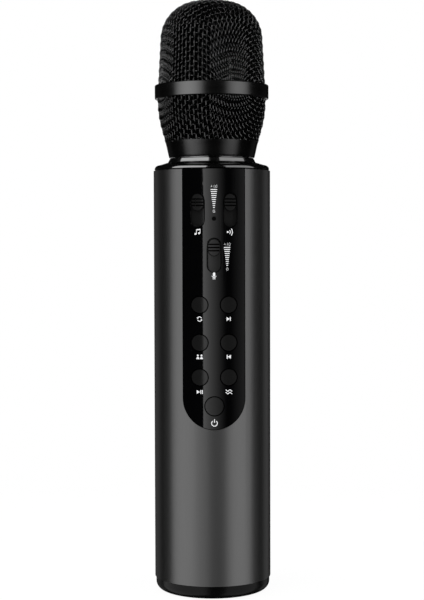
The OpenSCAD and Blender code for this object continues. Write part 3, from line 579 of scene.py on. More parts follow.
    def runs(self, nodes: np.ndarray, sides: np.ndarray, order: np.ndarray) -> list[np.ndarray]:
        """Turns one wire's crossings into smooth runs inside the band of heights.

        Args:
            nodes: the wire's crossings.
            sides: how far the wire stands out at each crossing, less than nothing where it passes inside.
            order: the crossings' numbers along the wire, to find gaps.

        Returns:
            The runs as tables of points.
        """
        normal = self.profile.nearest(nodes)[1]
        knots = nodes + normal * sides[:, None]
        breaks = np.flatnonzero(np.diff(order) > 1) + 1
        kept = []
        for part in np.split(knots, breaks):
            if len(part) < 2:
                continue
            ends = np.vstack([2 * part[0] - part[1], part, 2 * part[-1] - part[-2]])
            fine = []
            for a, b, c, d in zip(ends, ends[1:], ends[2:], ends[3:]):
                for t in (0.0, 1 / 3, 2 / 3):
                    fine.append(0.5 * (2 * b + (c - a) * t + (2 * a - 5 * b + 4 * c - d) * t * t
                                       + (3 * b - a - 3 * c + d) * t ** 3))
            fine.append(part[-1])
            kept += self.clipped(np.array(fine))
        return kept

    def clipped(self, line: np.ndarray) -> list[np.ndarray]:
        """Cuts a line to the band of heights.

        Args:
            line: rows of X, Y and Z.

        Returns:
            The pieces that lie in the band.
        """
        inside = (line[:, 2] >= self.low) & (line[:, 2] <= self.high)
        pieces: list[list[np.ndarray]] = []
        current: list[np.ndarray] = []
        for k in range(len(line)):
            if k and inside[k] != inside[k - 1]:
                limit = self.low if min(line[k, 2], line[k - 1, 2]) < self.low else self.high
                share = (limit - line[k - 1, 2]) / (line[k, 2] - line[k - 1, 2])
                current.append(line[k - 1] + share * (line[k] - line[k - 1]))
                if not inside[k]:
                    pieces.append(current)
                    current = []
            if inside[k]:
                current.append(line[k])
        pieces.append(current)
        return [np.array(p) for p in pieces if len(p) > 2]

    def build(self, name: str) -> Object:
        """Makes the wires as round rods in one mesh.

        Args:
            name: the piece's name.

        Returns:
            The woven piece.
        """
        curve = bpy.data.curves.new(name, "CURVE")
        curve.dimensions = "3D"
        curve.bevel_depth = self.wire / 2 * MM
        curve.bevel_resolution = 1
        curve.use_fill_caps = True
        for line in self.paths():
            spline = curve.splines.new("POLY")
            spline.points.add(len(line) - 1)
            flat = np.column_stack([line * MM, np.ones(len(line))])
            spline.points.foreach_set("co", flat.astype(np.float32).ravel())
        obj = bpy.data.objects.new(name, curve)
        bpy.context.scene.collection.objects.link(obj)
        pick(obj)
        bpy.ops.object.convert(target="MESH")
        return bpy.context.object


@dataclass
class Head:
    """The screw-on head's new pieces, the woven dome and bowl and the foam, in millimetres and degrees."""

    seam: float = 222.3
    rim: float = 24.2
    apex: float = 263.1
    taper: float = 3.2
    corner: float = 17.0
    crown: float = 58.0
    collar_top: float = 200.5
    collar_radius: float = 20.95
    flare: float = 16.0
    bulge: float = 45.0
    floor_edge: float = 5.0
    floor_drop: float = 0.5
    wire_inset: float = 0.72
    foam_inset: float = 1.45
    foam_wall: float = 2.45
    foam_low: float = 200.7
    foam_cell: float = 0.8
    foam_sides: int = 120
    foam_weld: float = 0.02
    pore: float = 1.6
    pore_depth: float = 0.25
    step: float = 0.06

    def arc(self, centre: Point, radius: float, start: float, end: float) -> np.ndarray:
        """Returns an arc from one angle to another in radians, as rows of radius and height."""
        angles = np.arange(start, end, math.copysign(self.step / radius, end - start))
        return np.column_stack([centre[0] + radius * np.cos(angles), centre[1] + radius * np.sin(angles)])

    def dome(self, inset: float, low: float) -> Profile:
        """Outline of the upper grille downwards to a height, drawn in by an inset.

        Args:
            inset: the distance inside the grille's outer face.
            low: the height where the outline ends.

        Returns:
            The outline.
        """
        slope = math.radians(self.taper)
        crown_z = self.apex - self.crown

        def side(height: Any, off: float) -> Any:
            """Radius of the tapered side at a height or heights."""
            return self.rim - (height - self.seam) * math.tan(slope) - off / math.cos(slope)

        under, over = self.seam, self.apex
        for _ in range(50):
            middle = (under + over) / 2
            miss = math.hypot(side(middle, self.corner), middle - crown_z) - (self.crown - self.corner)
            under, over = (under, middle) if miss > 0 else (middle, over)
        centre = (side(under, self.corner), under)
        top = math.atan2(centre[1] - crown_z, centre[0])
        corner = self.corner - inset
        down = np.arange(centre[1] + corner * math.sin(slope), low, -self.step)
        return Profile(np.vstack([self.arc((0.0, crown_z), self.crown - inset, math.pi / 2, top),
                                  self.arc(centre, corner, top, slope),
                                  np.column_stack([side(down, inset), down])]), 1.0)

    def bowl(self, inset: float, high: float, closed: bool) -> Profile:
        """Outline of the lower grille upwards to a height, drawn in by an inset.

        Args:
            inset: the distance inside the grille's outer face.
            high: the height where the outline ends.
            closed: whether the outline starts at the axis, as the sheet did before its floor was cut out.

        Returns:
            The outline.
        """
        lean = math.radians(self.flare)
        turn_z = self.collar_top + (self.rim - self.collar_radius
                                    - self.bulge * (1 - math.cos(lean))) / math.tan(lean)
        centre = (self.rim - self.bulge, turn_z + self.bulge * math.sin(lean))
        radius = self.bulge - inset
        foot = self.collar_radius - inset / math.cos(lean)
        parts = []
        if closed:
            edge = self.floor_edge
            bend = (foot - edge * math.cos(lean), self.collar_top - self.floor_drop + edge * math.sin(lean))
            flat = np.arange(0, bend[0], self.step)
            parts = [np.column_stack([flat, np.full(len(flat), bend[1] - edge)]),
                     self.arc(bend, edge, -math.pi / 2, -lean)]
        slant = np.arange(self.collar_top, centre[1] - radius * math.sin(lean), self.step)
        rise = np.arange(centre[1], high, self.step)
        parts += [np.column_stack([foot + (slant - self.collar_top) * math.tan(lean), slant]),
                  self.arc(centre, radius, -lean, 0.0),
                  np.column_stack([np.full(len(rise), self.rim - inset), rise])]
        return Profile(np.vstack(parts), -1.0)

    def build_wires(self) -> None:
        """Weaves the dome and the bowl in place of their plain solids."""
        lap, gap, tuck = 6.0, 0.3, 0.4
        dome = WovenSheet(self.dome(self.wire_inset, self.seam - lap), self.seam + gap, self.apex, 58.0)
        bowl = WovenSheet(self.bowl(self.wire_inset, self.seam + lap, True), self.collar_top - tuck,
                          self.seam - gap, 48.0, lock=(22.0, 1.6))
        for name, node, sheet in (("woven_dome", "upper_grille", dome), ("woven_bowl", "lower_grille", bowl)):
            wires = settle(sheet.build(name), name, "head", FINISHES["painted_wire"], 80)
            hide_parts(node)

    def build_foam(self) -> None:
        """Turns the foam liner from its outline and roughens it with pores."""
        outlines = []
        for inset in (self.foam_inset, self.foam_inset + self.foam_wall):
            bowl, dome = self.bowl(inset, self.seam, False), self.dome(inset, self.seam)
            line = np.vstack([bowl.line[bowl.heights >= self.foam_low], dome.line[::-1]])
            line = line[::int(self.foam_cell / self.step)]
            outlines.append(np.vstack([line, [[0.0, line[-1, 1]]]]))
        loop, inner = np.vstack(outlines), len(outlines[0])
        runs = [(k, k + 1) for k in range(len(loop) - 1) if k != inner - 1] + [(0, inner)]
        foam = mesh_object("foam_windscreen", np.insert(loop, 1, 0.0, axis=1), [], runs)
        with edit_mode(foam):
            bpy.ops.mesh.spin(steps=self.foam_sides, angle=math.tau, center=(0, 0, 0), axis=(0, 0, 1))
            bpy.ops.mesh.select_all(action="SELECT")
            bpy.ops.mesh.remove_doubles(threshold=self.foam_weld * MM)
            bpy.ops.mesh.normals_make_consistent(inside=False)
        pores = bpy.data.textures.new("foam pores", "VORONOI")
        pores.noise_scale = self.pore * MM
        add_modifier(foam, "DISPLACE", texture=pores, texture_coords="LOCAL",
                     strength=self.pore_depth * MM, mid_level=1.0)
        settle(foam, "foam_windscreen", "head_lift", FINISHES["foam"], 60)
        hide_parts("foam_liner")


@dataclass
class Neck:
    """The neck's screw thread, which shows when the head is unscrewed."""

    root: float = 16.45
    crest: float = 16.72
    root_half: float = 0.55
    crest_half: float = 0.12
    pitch: float = 1.5
    start: float = 194.5
    turns: int = 3
    steps: int = 48
    fade_steps: int = 10
    thin: float = 0.05

    def build(self) -> None:
        """Winds the thread's ridge up the neck and lets it fade out at both ends."""
        section = ((self.root, -self.root_half), (self.crest, -self.crest_half),
                   (self.crest, self.crest_half), (self.root, self.root_half))
        sides, count = len(section), self.turns * self.steps
        points = []
        for k in range(count + 1):
            angle = k * math.tau / self.steps
            fade = min(1.0, k / self.fade_steps, (count - k) / self.fade_steps)
            for radius, rise in section:
                reach = self.root + (radius - self.root) * fade
                points.append((reach * math.cos(angle), reach * math.sin(angle),
                               self.start + k * self.pitch / self.steps + rise * max(fade, self.thin)))
        faces = [(k + i, k + (i + 1) % sides, k + sides + (i + 1) % sides, k + sides + i)
                 for k in range(0, count * sides, sides) for i in range(sides)]
        faces += [tuple(range(sides))[::-1], tuple(range(count * sides, (count + 1) * sides))]
        ridge = mesh_object("neck_thread", np.array(points), faces)
        with edit_mode(ridge):
            bpy.ops.mesh.normals_make_consistent(inside=False)
        settle(ridge, "neck_thread", "body", FINISHES["gloss_trim"])


def polar(radius: float, degrees: float) -> Point:
    """Returns the point at a radius and an angle."""
    angle = math.radians(degrees)
    return (radius * math.cos(angle), radius * math.sin(angle))


class Symbol(Enum):
    """Generic signs on the panel, as rows of a Print method and its values in millimetres."""

    NOTE = (("disc", (-0.85, -0.75), 0.52, 0.4, 20), ("disc", (0.75, -0.45), 0.52, 0.4, 20),
            ("bar", (-0.55, -0.7), (-0.31, 1.0)), ("bar", (1.05, -0.4), (1.29, 1.3)),
            ("face", ((-0.55, 0.7), (1.29, 1.0), (1.29, 1.45), (-0.55, 1.15))))
    ECHO = (("disc", (-1.2, 0), 0.42, 0.42), ("arc", (-1.2, 0), 1.15, -42, 42),
            ("arc", (-1.2, 0), 2.15, -42, 42))
    MICROPHONE = (("disc", (0, 0.85), 0.5, 0.5), ("bar", (-0.5, 0.0), (0.5, 0.85), 2),
                  ("disc", (0, 0.0), 0.5, 0.5), ("arc", (0, 0.05), 0.92, -165, -15, 0.26),
                  ("bar", (-0.13, -1.35), (0.13, -0.8)), ("bar", (-0.6, -1.55), (0.6, -1.3), 2))
    CYCLE = tuple(row for turn in (0, 180) for row in (
        ("arc", (0, 0), 0.95, turn + 25, turn + 150),
        ("face", (polar(0.98, turn + 180.6051), polar(1.42, turn + 146), polar(0.5, turn + 146)))))
    NEXT = (("face", ((-0.95, -0.85), (0.5, 0), (-0.95, 0.85))), ("bar", (0.5, -0.85), (0.92, 0.85)))
    PREVIOUS = (("face", ((0.95, -0.85), (0.95, 0.85), (-0.5, 0))), ("bar", (-0.92, -0.85), (-0.5, 0.85)))
    PAIR = tuple(row for side in (-0.8, 0.8) for row in (
        ("disc", (side, 0.62), 0.42, 0.42),
        ("face", tuple((side + polar(0.68, a)[0], polar(0.95, a)[1] - 0.95) for a in range(0, 181, 15)))))
    PLAY_PAUSE = (("face", ((-1.35, -0.85), (0.05, 0), (-1.35, 0.85))),
                  ("bar", (0.3, -0.85), (0.66, 0.85)), ("bar", (0.98, -0.85), (1.34, 0.85)))
    WAVES = tuple(("stroke", tuple((x, rise + 0.3 * math.sin(x * 3.4)) for x in np.linspace(-1.5, 1.5, 25)))
                  for rise in (-0.55, 0.55))
    POWER = (("arc", (0, -0.15), 1.25, 130, 410), ("bar", (-0.17, 0.1), (0.17, 1.6)))


@dataclass
class Print:
    """A film of ink on the panel, drawn flat in millimetres and wrapped on the tube's curve."""

    radius: float
    middle: Point = (0.0, 0.0)
    points: list[Point] = field(default_factory=list)
    faces: list[list[int]] = field(default_factory=list)

    def face(self, corners: Sequence[Point]) -> None:
        """Adds one flat patch.

        Args:
            corners: its corners, from the present middle.
        """
        start = len(self.points)
        self.points += [(x + self.middle[0], y + self.middle[1]) for x, y in corners]
        self.faces.append(list(range(start, len(self.points))))

    def bar(self, low: Point, high: Point, cells: int = 1) -> None:
        """Adds an upright rectangle.

        Args:
            low: its lower left corner.
            high: its upper right corner.
            cells: how many cells side by side let it follow the curve.
        """
        edges = np.linspace(low[0], high[0], cells + 1)
        for left, right in zip(edges, edges[1:]):
            self.face([(left, low[1]), (right, low[1]), (right, high[1]), (left, high[1])])

    def stroke(self, line: Sequence[Point], width: float = LINE_MM) -> None:
        """Adds a line of even width.

        Args:
            line: the points on its middle.
            width: its width.
        """
        path = np.array(line, float)
        ahead = np.gradient(path, axis=0)
        ahead /= np.linalg.norm(ahead, axis=1)[:, None]
        aside = np.column_stack([-ahead[:, 1], ahead[:, 0]]) * width / 2
        left, right = path + aside, path - aside
        for k in range(len(path) - 1):
            self.face([tuple(right[k]), tuple(right[k + 1]), tuple(left[k + 1]), tuple(left[k])])

    def arc(self, middle: Point, radius: float, start: float, end: float, width: float = LINE_MM) -> None:
        """Adds a round stroke.

        Args:
            middle: the middle of its curve.
            radius: its radius.
            start: its first angle, in degrees.
            end: its last angle.
            width: its width.
        """
        step = 12
        angles = np.linspace(start, end, max(4, int(abs(end - start) / step)))
        self.stroke([np.add(middle, polar(radius, a)) for a in angles], width)

    def disc(self, middle: Point, wide: float, high: float, lean: float = 0.0) -> None:
        """Adds a filled oval.

        Args:
            middle: its middle.
            wide: half its width.
            high: half its height.
            lean: how far it is turned, in degrees.
        """
        cos, sin = polar(1.0, lean)
        corners = []
        for angle in range(0, 360, 20):
            x, y = wide * polar(1.0, angle)[0], high * polar(1.0, angle)[1]
            corners.append((middle[0] + x * cos - y * sin, middle[1] + x * sin + y * cos))
        self.face(corners)

    def symbol(self, kind: Symbol, place: Point) -> None:
        """Draws one sign.

        Args:
            kind: the sign.
            place: its middle on the panel.
        """
        self.middle = place
        for method, *values in kind.value:
            getattr(self, method)(*values)

    def scale(self, place: Point, count: int, pitch: float, wide: float, narrow: float) -> None:
        """Draws a level scale: bars that shorten downwards.

        Args:
            place: the middle of the top bar.
            count: how many bars.
            pitch: the distance from bar to bar.
            wide: the top bar's length.
            narrow: the bottom bar's length.
        """
        self.middle = place
        for k in range(count):
            half = (wide + (narrow - wide) * k / (count - 1)) / 2
            self.bar((-half, -k * pitch - LINE_MM / 2), (half, -k * pitch + LINE_MM / 2), 4)

    def letters(self, words: str, place: Point, height: float, wide: float) -> None:
        """Draws plain figures about a place.

        Args:
            words: the figures.
            place: their middle.
            height: the figures' height.
            wide: how much the figures are widened.
        """
        deselect_all()
        bpy.ops.object.text_add()
        text = bpy.context.object.data
        # Three steps to a curve, a little room between figures, and strokes drawn in to stay thin
        for name, value in (("body", words), ("align_x", "CENTER"), ("align_y", "CENTER"),
                            ("resolution_u", 3), ("space_character", 1.1), ("offset", -0.018)):
            setattr(text, name, value)
        bpy.ops.object.convert(target="MESH")
        mesh = bpy.context.object.data
        flat = np.array([v.co[:2] for v in mesh.vertices])
        factor = height / float(np.ptp(flat[:, 1]))
        centre = (flat.max(0) + flat.min(0)) / 2
        start = len(self.points)
        self.points += [tuple((p - centre) * factor * [wide, 1.0] + np.array(place)) for p in flat]
        self.faces += [[start + v for v in polygon.vertices] for polygon in mesh.polygons]
        bpy.data.objects.remove(bpy.context.object)

    def build(self, name: str, body: str) -> None:
        """Wraps the film on the tube and gives it its thickness.

        Args:
            name: the piece's name.
            body: the CAD body that carries it.
        """
        flat = np.array(self.points)
        turn = flat[:, 0] / self.radius
        reach = self.radius + FILM_MM / 2
        wrapped = np.column_stack([reach * np.sin(turn), -reach * np.cos(turn), flat[:, 1]])
        ink = mesh_object(name, wrapped, self.faces)
        with edit_mode(ink):
            bpy.ops.mesh.quads_convert_to_tris()
            bpy.ops.mesh.normals_make_consistent(inside=False)
        if sum(p.normal.y * p.area for p in ink.data.polygons) > 0:
            ink.data.flip_normals()
        add_modifier(ink, "SOLIDIFY", thickness=FILM_MM * MM, offset=0.0)
        settle(ink, name, body, INK)


@dataclass
class Panel:
    """The print on the control panel: two level scales and the signs under the controls."""

    scales: tuple[Point, ...] = ((0.0, 178.4), (5.7, 153.5))
    bars: int = 10
    bar_pitch: float = 0.86
    bar_ends: Point = (2.85, 0.75)
    # Each figure with its place above the top bar and its widening
    figures: tuple[tuple[str, float, float], ...] = (("+10", 1.35, 0.92), ("0", -9.35, 1.15))
    figure_height: float = 1.3
    button_x: float = 6.3

    @staticmethod
    def across(x: float) -> float:
        """Turns a sideways place seen from the front into a length along the curve."""
        return PANEL_MM * math.asin(x / PANEL_MM)

    def build(self) -> None:
        """Prints the scales and the signs."""
        scales = Print(PANEL_MM)
        for x, top in self.scales:
            place = self.across(x)
            scales.scale((place, top), self.bars, self.bar_pitch, *self.bar_ends)
            for words, rise, wide in self.figures:
                scales.letters(words, (place, top + rise), self.figure_height, wide)
        scales.build("level_scales", "body")
        signs = Print(PANEL_MM)
        for z, x, *kinds in ((160.1, SLOTS["echo"][0], Symbol.NOTE, Symbol.ECHO),
                             (141.4, 0.0, Symbol.MICROPHONE),
                             (122.6, self.button_x, Symbol.CYCLE, Symbol.NEXT),
                             (106.2, self.button_x, Symbol.PAIR, Symbol.PREVIOUS),
                             (91.0, self.button_x, Symbol.PLAY_PAUSE, Symbol.WAVES),
                             (77.6, 0.0, Symbol.POWER)):
            for kind, side in zip(kinds, (-x, x)):
                signs.symbol(kind, (self.across(side), z))
        signs.build("control_signs", "body")


@dataclass
class Chamfered:
    """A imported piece, copied with the front edges of its pill-shaped openings or knobs chamfered."""

    name: str
    node: str
    body: str
    slot: str
    finish: Finish
    radius: float
    pills: tuple[Point, ...]
    size: Point
    plain: float = -1.0
    chamfer: float = 0.32
    weld: float = 0.001

    def at_edge(self, place: np.ndarray) -> bool:
        """Says whether a point is on a pill's front edge, outside its plain middle.

        Args:
            place: the point in millimetres.

        Returns:
            Whether its edge is chamfered.
        """
        near_front, near_edge = 0.02, 0.03
        if abs(math.hypot(place[0], place[1]) - self.radius) > near_front:
            return False
        wide, long = self.size
        for x, z in self.pills:
            up = abs(place[2] - z)
            reach = math.hypot(place[0] - x, max(up - (long - wide) / 2, 0.0))
            if up > self.plain and abs(reach - wide / 2) < near_edge:
                return True
        return False

    @staticmethod
    def faces_out(polygon: MeshPolygon) -> bool:
        """Says whether a face belongs to the piece's round front.

        Args:
            polygon: the face.

        Returns:
            True on the front, and False on a wall or a chamfer.
        """
        x, y = polygon.center.x, polygon.center.y
        least = 0.9
        return polygon.normal.x * x + polygon.normal.y * y > least * math.hypot(x, y)

    def build(self, nodes: dict[str, Object]) -> None:
        """Breaks the edges on a copy of the plain piece.

        Args:
            nodes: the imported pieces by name.
        """
        shell = mesh_object(self.name, np.zeros((0, 3)), [])
        shell.data = nodes[self.node].data.copy()
        with edit_mode(shell):
            bpy.ops.mesh.select_mode(type="EDGE")
            bpy.ops.mesh.remove_doubles(threshold=self.weld * MM)
            bpy.ops.mesh.select_all(action="DESELECT")
        rim = [self.at_edge(np.array(v.co) / MM) for v in shell.data.vertices]
        inner = np.zeros(len(shell.data.edges), int)
        front = np.zeros(len(shell.data.edges), int)
        numbers = {tuple(sorted(edge.vertices)): edge.index for edge in shell.data.edges}
        for polygon in shell.data.polygons:
            side = front if self.faces_out(polygon) else inner
            for key in polygon.edge_keys:
                side[numbers[tuple(sorted(key))]] += 1
        for edge in shell.data.edges:
            sharp = front[edge.index] == 1 and inner[edge.index] == 1
            edge.select = sharp and all(rim[v] for v in edge.vertices)
        LOG.info("%s: %d edges chamfered", self.name, sum(edge.select for edge in shell.data.edges))
        with edit_mode(shell, everything=False):
            bpy.ops.mesh.bevel(offset=self.chamfer * MM, offset_type="OFFSET", segments=1, affect="EDGES",
                               clamp_overlap=False)
        settle(shell, self.name, self.body, self.finish, 20)
        self.true_normals(shell.data)
        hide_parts(self.node)

    def true_normals(self, mesh: Mesh) -> None:
        """Lets the front face shine as a true cylinder.

        Args:
            mesh: the chamfered mesh.
        """
        normals = [tuple(n.vector) for n in mesh.corner_normals]
        for polygon in mesh.polygons:
            if self.faces_out(polygon):
                for loop, vertex in zip(polygon.loop_indices, polygon.vertices):
                    spot = mesh.vertices[vertex].co
                    far = math.hypot(spot.x, spot.y)
                    normals[loop] = (spot.x / far, spot.y / far, 0.0)
        mesh.normals_split_custom_set(normals)


class Fade(Enum):
    """How a softbox's light runs across its width, as weights of the width's square, the width and one."""

    RISING = (0.0, 1.0, 0.0)
    FALLING = (0.0, -1.0, 1.0)
    BOTH_ENDS = (-4.0, 4.0, 0.0)


@dataclass(frozen=True)
class Softbox:
    """A studio light on a stand, seen from the object as a band of directions.

    Angles are in degrees round the tube from the front, lengths in metres, and the level is a radiance.
    """

    name: str
    start: float
    end: float
    level: float
    distance: float = 0.9
    low: float = -0.6
    high: float = 1.2
    fade: Optional[Fade] = None
    power: float = 1.0

    def build(self, receivers: Collection) -> None:
        """Adds the light, aimed at the microphone's axis.

        Args:
            receivers: the pieces that the light reaches.
        """
        middle = math.radians((self.start + self.end) / 2)
        half = math.radians((self.end - self.start) / 2)
        width = 2 * self.distance * math.tan(half)
        height = self.high - self.low
        deselect_all()
        bpy.ops.object.light_add(type="AREA", location=(
            self.distance * math.sin(middle), -self.distance * math.cos(middle), (self.low + self.high) / 2),
            rotation=(math.pi / 2, 0, middle))
        lamp = bpy.context.object
        lamp.name = self.name
        lamp.data.shape = "RECTANGLE"
        lamp.data.size, lamp.data.size_y = width, height
        lamp.data.energy = self.level * math.pi * width * height
        if self.fade is not None:
            self.shade(lamp.data, self.fade)
        lamp.light_linking.receiver_collection = receivers

    def shade(self, lamp: Light, fade: Fade) -> None:
        """Lets the light fade towards its upright edges.

        Args:
            lamp: the light.
            fade: how it fades.
        """
        lamp.use_nodes = True
        tree = lamp.node_tree
        spot = add_node(tree, "NewGeometry").outputs["Parametric"]
        across = add_node(tree, "SeparateXYZ", {0: spot}).outputs[0]
        square, single, plain = fade.value
        slope = add_node(tree, "Math", {0: across, 1: square, 2: single}, operation="MULTIPLY_ADD").outputs[0]
        share = add_node(tree, "Math", {0: slope, 1: across, 2: plain}, operation="MULTIPLY_ADD").outputs[0]
        level = add_node(tree, "Math", {0: share, 1: self.power}, operation="POWER").outputs[0]
        tree.links.new(level, tree.nodes["Emission"].inputs["Strength"])


def pair(name: str, left: Sequence[float], right: Sequence[float], **more: Any) -> tuple[Softbox, Softbox]:
    """Returns a left and a right softbox.

    Args:
        name: the start of their names.
        left: the left one's first angle, last angle and level.
        right: the right one's.
        more: values that both share.

    Returns:
        The two softboxes.
    """
    return (Softbox(name + " left", *left, **more), Softbox(name + " right", *right, **more))


@dataclass
class Studio:
    """Camera, floor, background and lights, in metres and degrees."""

    distance: float = 0.667
    height: float = 0.1576
    azimuth: float = -1.9
    pitch: float = 2.39
    roll: float = 0.15
    lens: float = 89.28
    floor_size: float = 12.0
    floor_drop: float = 0.0002
    # Share and strength of the glow that whitens the floor for the camera, and where the floor fades out
    floor_share: float = 0.8
    floor_glow: float = 1.18
    floor_fade: Point = (0.06, 0.3)
    # The room's plain fill, its share in reflections in front and behind, and where the back begins
    room_fill: float = 0.25
    room_shine: Point = (0.005, 0.1)
    room_back: Point = (0.985, 0.995)

    def camera(self) -> None:
        """Sets the camera at the photograph's viewing angle."""
        turn = math.radians(self.azimuth)
        deselect_all()
        bpy.ops.object.camera_add(
            location=(self.distance * math.sin(turn), -self.distance * math.cos(turn), self.height),
            rotation=(math.radians(90 - self.pitch), math.radians(self.roll), turn))
        camera = bpy.context.object
        camera.data.lens, camera.data.sensor_width = self.lens, 36.0
        camera.data.clip_start = 0.01
        bpy.context.scene.camera = camera

    def floor(self) -> None:
        """Lays the pale floor, which shows white to the camera and keeps a soft shadow."""
        deselect_all()
        bpy.ops.mesh.primitive_plane_add(size=self.floor_size, location=(0, 0, -self.floor_drop))
        floor = bpy.context.object
        floor.name = "studio_floor"
        floor.visible_glossy = floor.visible_shadow = False
        paper = bpy.data.materials.new("white studio paper")
        paper.use_nodes = True
        tree = paper.node_tree
        shader = tree.nodes["Principled BSDF"]
        shader.inputs["Base Color"].default_value = linear("#e8e8e8")
        shader.inputs["Roughness"].default_value = 0.9
        camera_ray = add_node(tree, "LightPath").outputs["Is Camera Ray"]
        seen = add_node(tree, "Math", {0: camera_ray, 1: self.floor_share}, operation="MULTIPLY").outputs[0]
        glow = add_node(tree, "Emission", {"Color": (1, 1, 1, 1), "Strength": self.floor_glow}).outputs[0]
        lit = add_node(tree, "MixShader", {0: seen, 1: shader.outputs[0], 2: glow}).outputs[0]
        clear = add_node(tree, "BsdfTransparent").outputs[0]
        spot = add_node(tree, "TexCoord").outputs["Object"]
        start, end = self.floor_fade
        reach = add_node(tree, "VectorMath", {0: spot}, operation="LENGTH").outputs["Value"]
        edge = add_node(tree, "MapRange", {"Value": reach, "From Min": start, "From Max": end},
                        interpolation_type="SMOOTHSTEP").outputs[0]
        under = add_node(tree, "NewGeometry").outputs["Backfacing"]
        gone = add_node(tree, "Math", {0: edge, 1: under}, operation="MAXIMUM").outputs[0]
        mixed = add_node(tree, "MixShader", {0: gone, 1: lit, 2: clear}).outputs[0]
        tree.links.new(mixed, tree.nodes["Material Output"].inputs["Surface"])
        floor.data.materials.append(paper)

    def background(self) -> None:
        """Makes the room: white to the camera and behind the object, dim elsewhere in reflections."""
        world = bpy.data.worlds.new("white studio")
        bpy.context.scene.world = world
        world.use_nodes = True
        tree = world.node_tree
        path = add_node(tree, "LightPath")
        way = add_node(tree, "TexCoord").outputs["Generated"]
        back = add_node(tree, "SeparateXYZ", {0: way}).outputs[1]
        limits = dict(zip(("From Min", "From Max", "To Min", "To Max"), self.room_back + self.room_shine))
        behind = add_node(tree, "MapRange", {"Value": back, **limits}).outputs[0]
        rays = {0: path.outputs["Is Glossy Ray"], 1: path.outputs["Is Transmission Ray"]}
        shiny = add_node(tree, "Math", rays, operation="MAXIMUM").outputs[0]
        fill = add_node(tree, "Mix", {0: shiny, 2: self.room_fill, 3: behind}).outputs[0]
        level = add_node(tree, "Mix", {0: path.outputs["Is Camera Ray"], 2: fill, 3: 1.0}).outputs[0]
        tree.links.new(level, tree.nodes["Background"].inputs["Strength"])
        tree.nodes["Background"].inputs["Color"].default_value = (1, 1, 1, 1)

    def lights(self, groups: dict[str, Collection]) -> None:
        """Sets the softboxes: each group of pieces has its own, as in a picture made from several shots.

        Args:
            groups: the pieces by the lights that reach them.
        """
        patch = {"low": -0.12, "fade": Fade.BOTH_ENDS}
        boxes = {
            "tube": (Softbox("tube left", -87, -37, 1.0), Softbox("tube left inner", -37, -10, 0.62),
                     Softbox("tube middle", -10, 28, 0.2), Softbox("tube right", 28, 79, 0.95)),
            "panel": (Softbox("panel stripe", -19.5, 27.5, 1.9, fade=Fade.FALLING, power=1.7),
                      Softbox("panel edge", 34, 82, 0.5, fade=Fade.RISING, power=1.2)),
            "print": (Softbox("print front", -50, 50, 1.6),),
            "dome": (*pair("dome", (-115, -63, 1.6), (46, 88, 2.0), low=0.2, high=0.6),
                     *pair("crown", (-115, -63, 5.2), (46, 88, 4.8), low=0.95, high=1.06),
                     Softbox("crown rear left", -165, -118, 0.8, low=0.6, high=1.0),
                     Softbox("crown rear", 170, 190, 1.0, low=0.5, high=1.0),
                     Softbox("crown rear right", 118, 165, 0.5, low=0.6, high=1.0)),
            "bowl": pair("bowl", (-115, -63, 1.35), (46, 88, 1.8), low=-0.12, high=0.3),
            "ring": pair("ring", (-82, -16, 3.1), (25, 80, 2.15), **patch),
            "collar": pair("collar", (-80, -13, 2.4), (20, 72, 1.6), **patch),
            "trim": pair("trim", (-88, -13, 1.0), (26, 90, 0.5)),
            "neck": pair("neck", (-108, -13, 1.0), (26, 108, 0.6), high=3.0),
            "rest": pair("rest", (-118, -14, 0.85), (24, 98, 0.65), low=-1.8),
        }
        # Levels of the left and the right rim light
        rim_levels = {**dict.fromkeys(("ring", "collar", "trim", "neck"), (0.02, 0.03)),
                      "dome": (0.25, 0.1), "bowl": (0.2, 0.15)}
        for name, rows in boxes.items():
            left, right = rim_levels.get(name, (0.12, 0.2))
            rims = (Softbox(name + " left rim", -158, -128, left, high=0.3),
                    Softbox(name + " right rim", 118, 142, right, high=0.3),
                    Softbox(name + " back", 168, 192, 0.5, high=0.3))
            for box in rows + rims:
                box.build(groups[name])


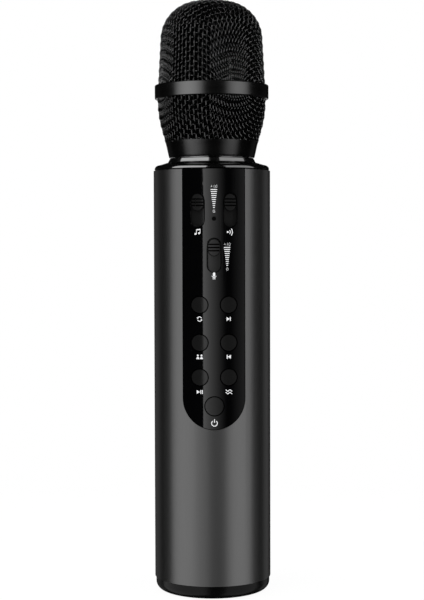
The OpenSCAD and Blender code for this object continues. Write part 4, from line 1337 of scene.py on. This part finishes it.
@dataclass
class Microphone:
    """The whole microphone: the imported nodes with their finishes, and the new pieces."""

    frame: dict[str, Any]
    # Widths and lengths of the slots and the knobs, how far a knob's middle stands above its slot's, and
    # how far its plain sides reach from there
    slot_size: Point = (5.8, 14.6)
    knob_size: Point = (4.92, 7.6)
    knob_up: float = 3.35
    knob_plain: float = 1.75
    # Starts of the names of the pieces that each group of lights reaches
    LIT = {"tube": ("body_tube",), "print": ("level_scales", "control_signs"), "dome": ("woven_dome",),
           "bowl": ("woven_bowl",), "ring": ("grille_band",), "collar": ("grille_collar",),
           "trim": ("shoulder_ring",), "neck": ("neck_ring", "neck_thread"),
           "panel": ("control_panel", "panel_shell", "button_", "slider_", "knob_",
                     "light_pipe", "lever_"), "rest": ("",)}

    def dress(self) -> None:
        """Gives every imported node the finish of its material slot."""
        for part in self.frame["record"]["subparts"]:
            node = self.frame["nodes"][part["node"]]
            sliding = part["node"].startswith("slider_")
            coat(node, SLIDER if sliding else FINISHES[part["material_slot"]])
            LOG.info("%s: %s", part["node"], part["material_slot"])

    def build(self) -> None:
        """Makes the new pieces."""
        nodes = self.frame["nodes"]
        head = Head()
        head.build_wires()
        head.build_foam()
        Neck().build()
        Chamfered("panel_shell", "control_panel", "body", "gloss_panel", FINISHES["gloss_panel"], PANEL_MM,
                  tuple(SLOTS.values()), self.slot_size).build(nodes)
        for name, (x, z) in SLOTS.items():
            Chamfered("knob_" + name, "slider_" + name, "slider_" + name, "control_plastic", SLIDER, KNOB_MM,
                      ((x, z + self.knob_up),), self.knob_size, self.knob_plain).build(nodes)
        Panel().build()

    def groups(self) -> dict[str, Collection]:
        """Sorts the pieces by the lights that reach them.

        Returns:
            A collection for each name in LIT.
        """
        sorts = {name: bpy.data.collections.new(name + " pieces") for name in self.LIT}
        for obj in bpy.context.scene.objects:
            if obj.type == "MESH":
                kind = next(name for name, starts in self.LIT.items() if obj.name.startswith(starts))
                sorts[kind].objects.link(obj)
        return sorts


def main() -> None:
    """Builds the dressed microphone and its studio."""
    logging.basicConfig(level=logging.INFO, format="%(name)s %(message)s")
    for start in list(bpy.data.objects):
        bpy.data.objects.remove(start)
    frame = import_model()
    studio = Studio()
    studio.camera()
    microphone = Microphone(frame)
    microphone.dress()
    microphone.build()
    studio.floor()
    studio.background()
    studio.lights(microphone.groups())
    bpy.context.scene.view_settings.view_transform = "Standard"


if __name__ == "__main__":
    main()
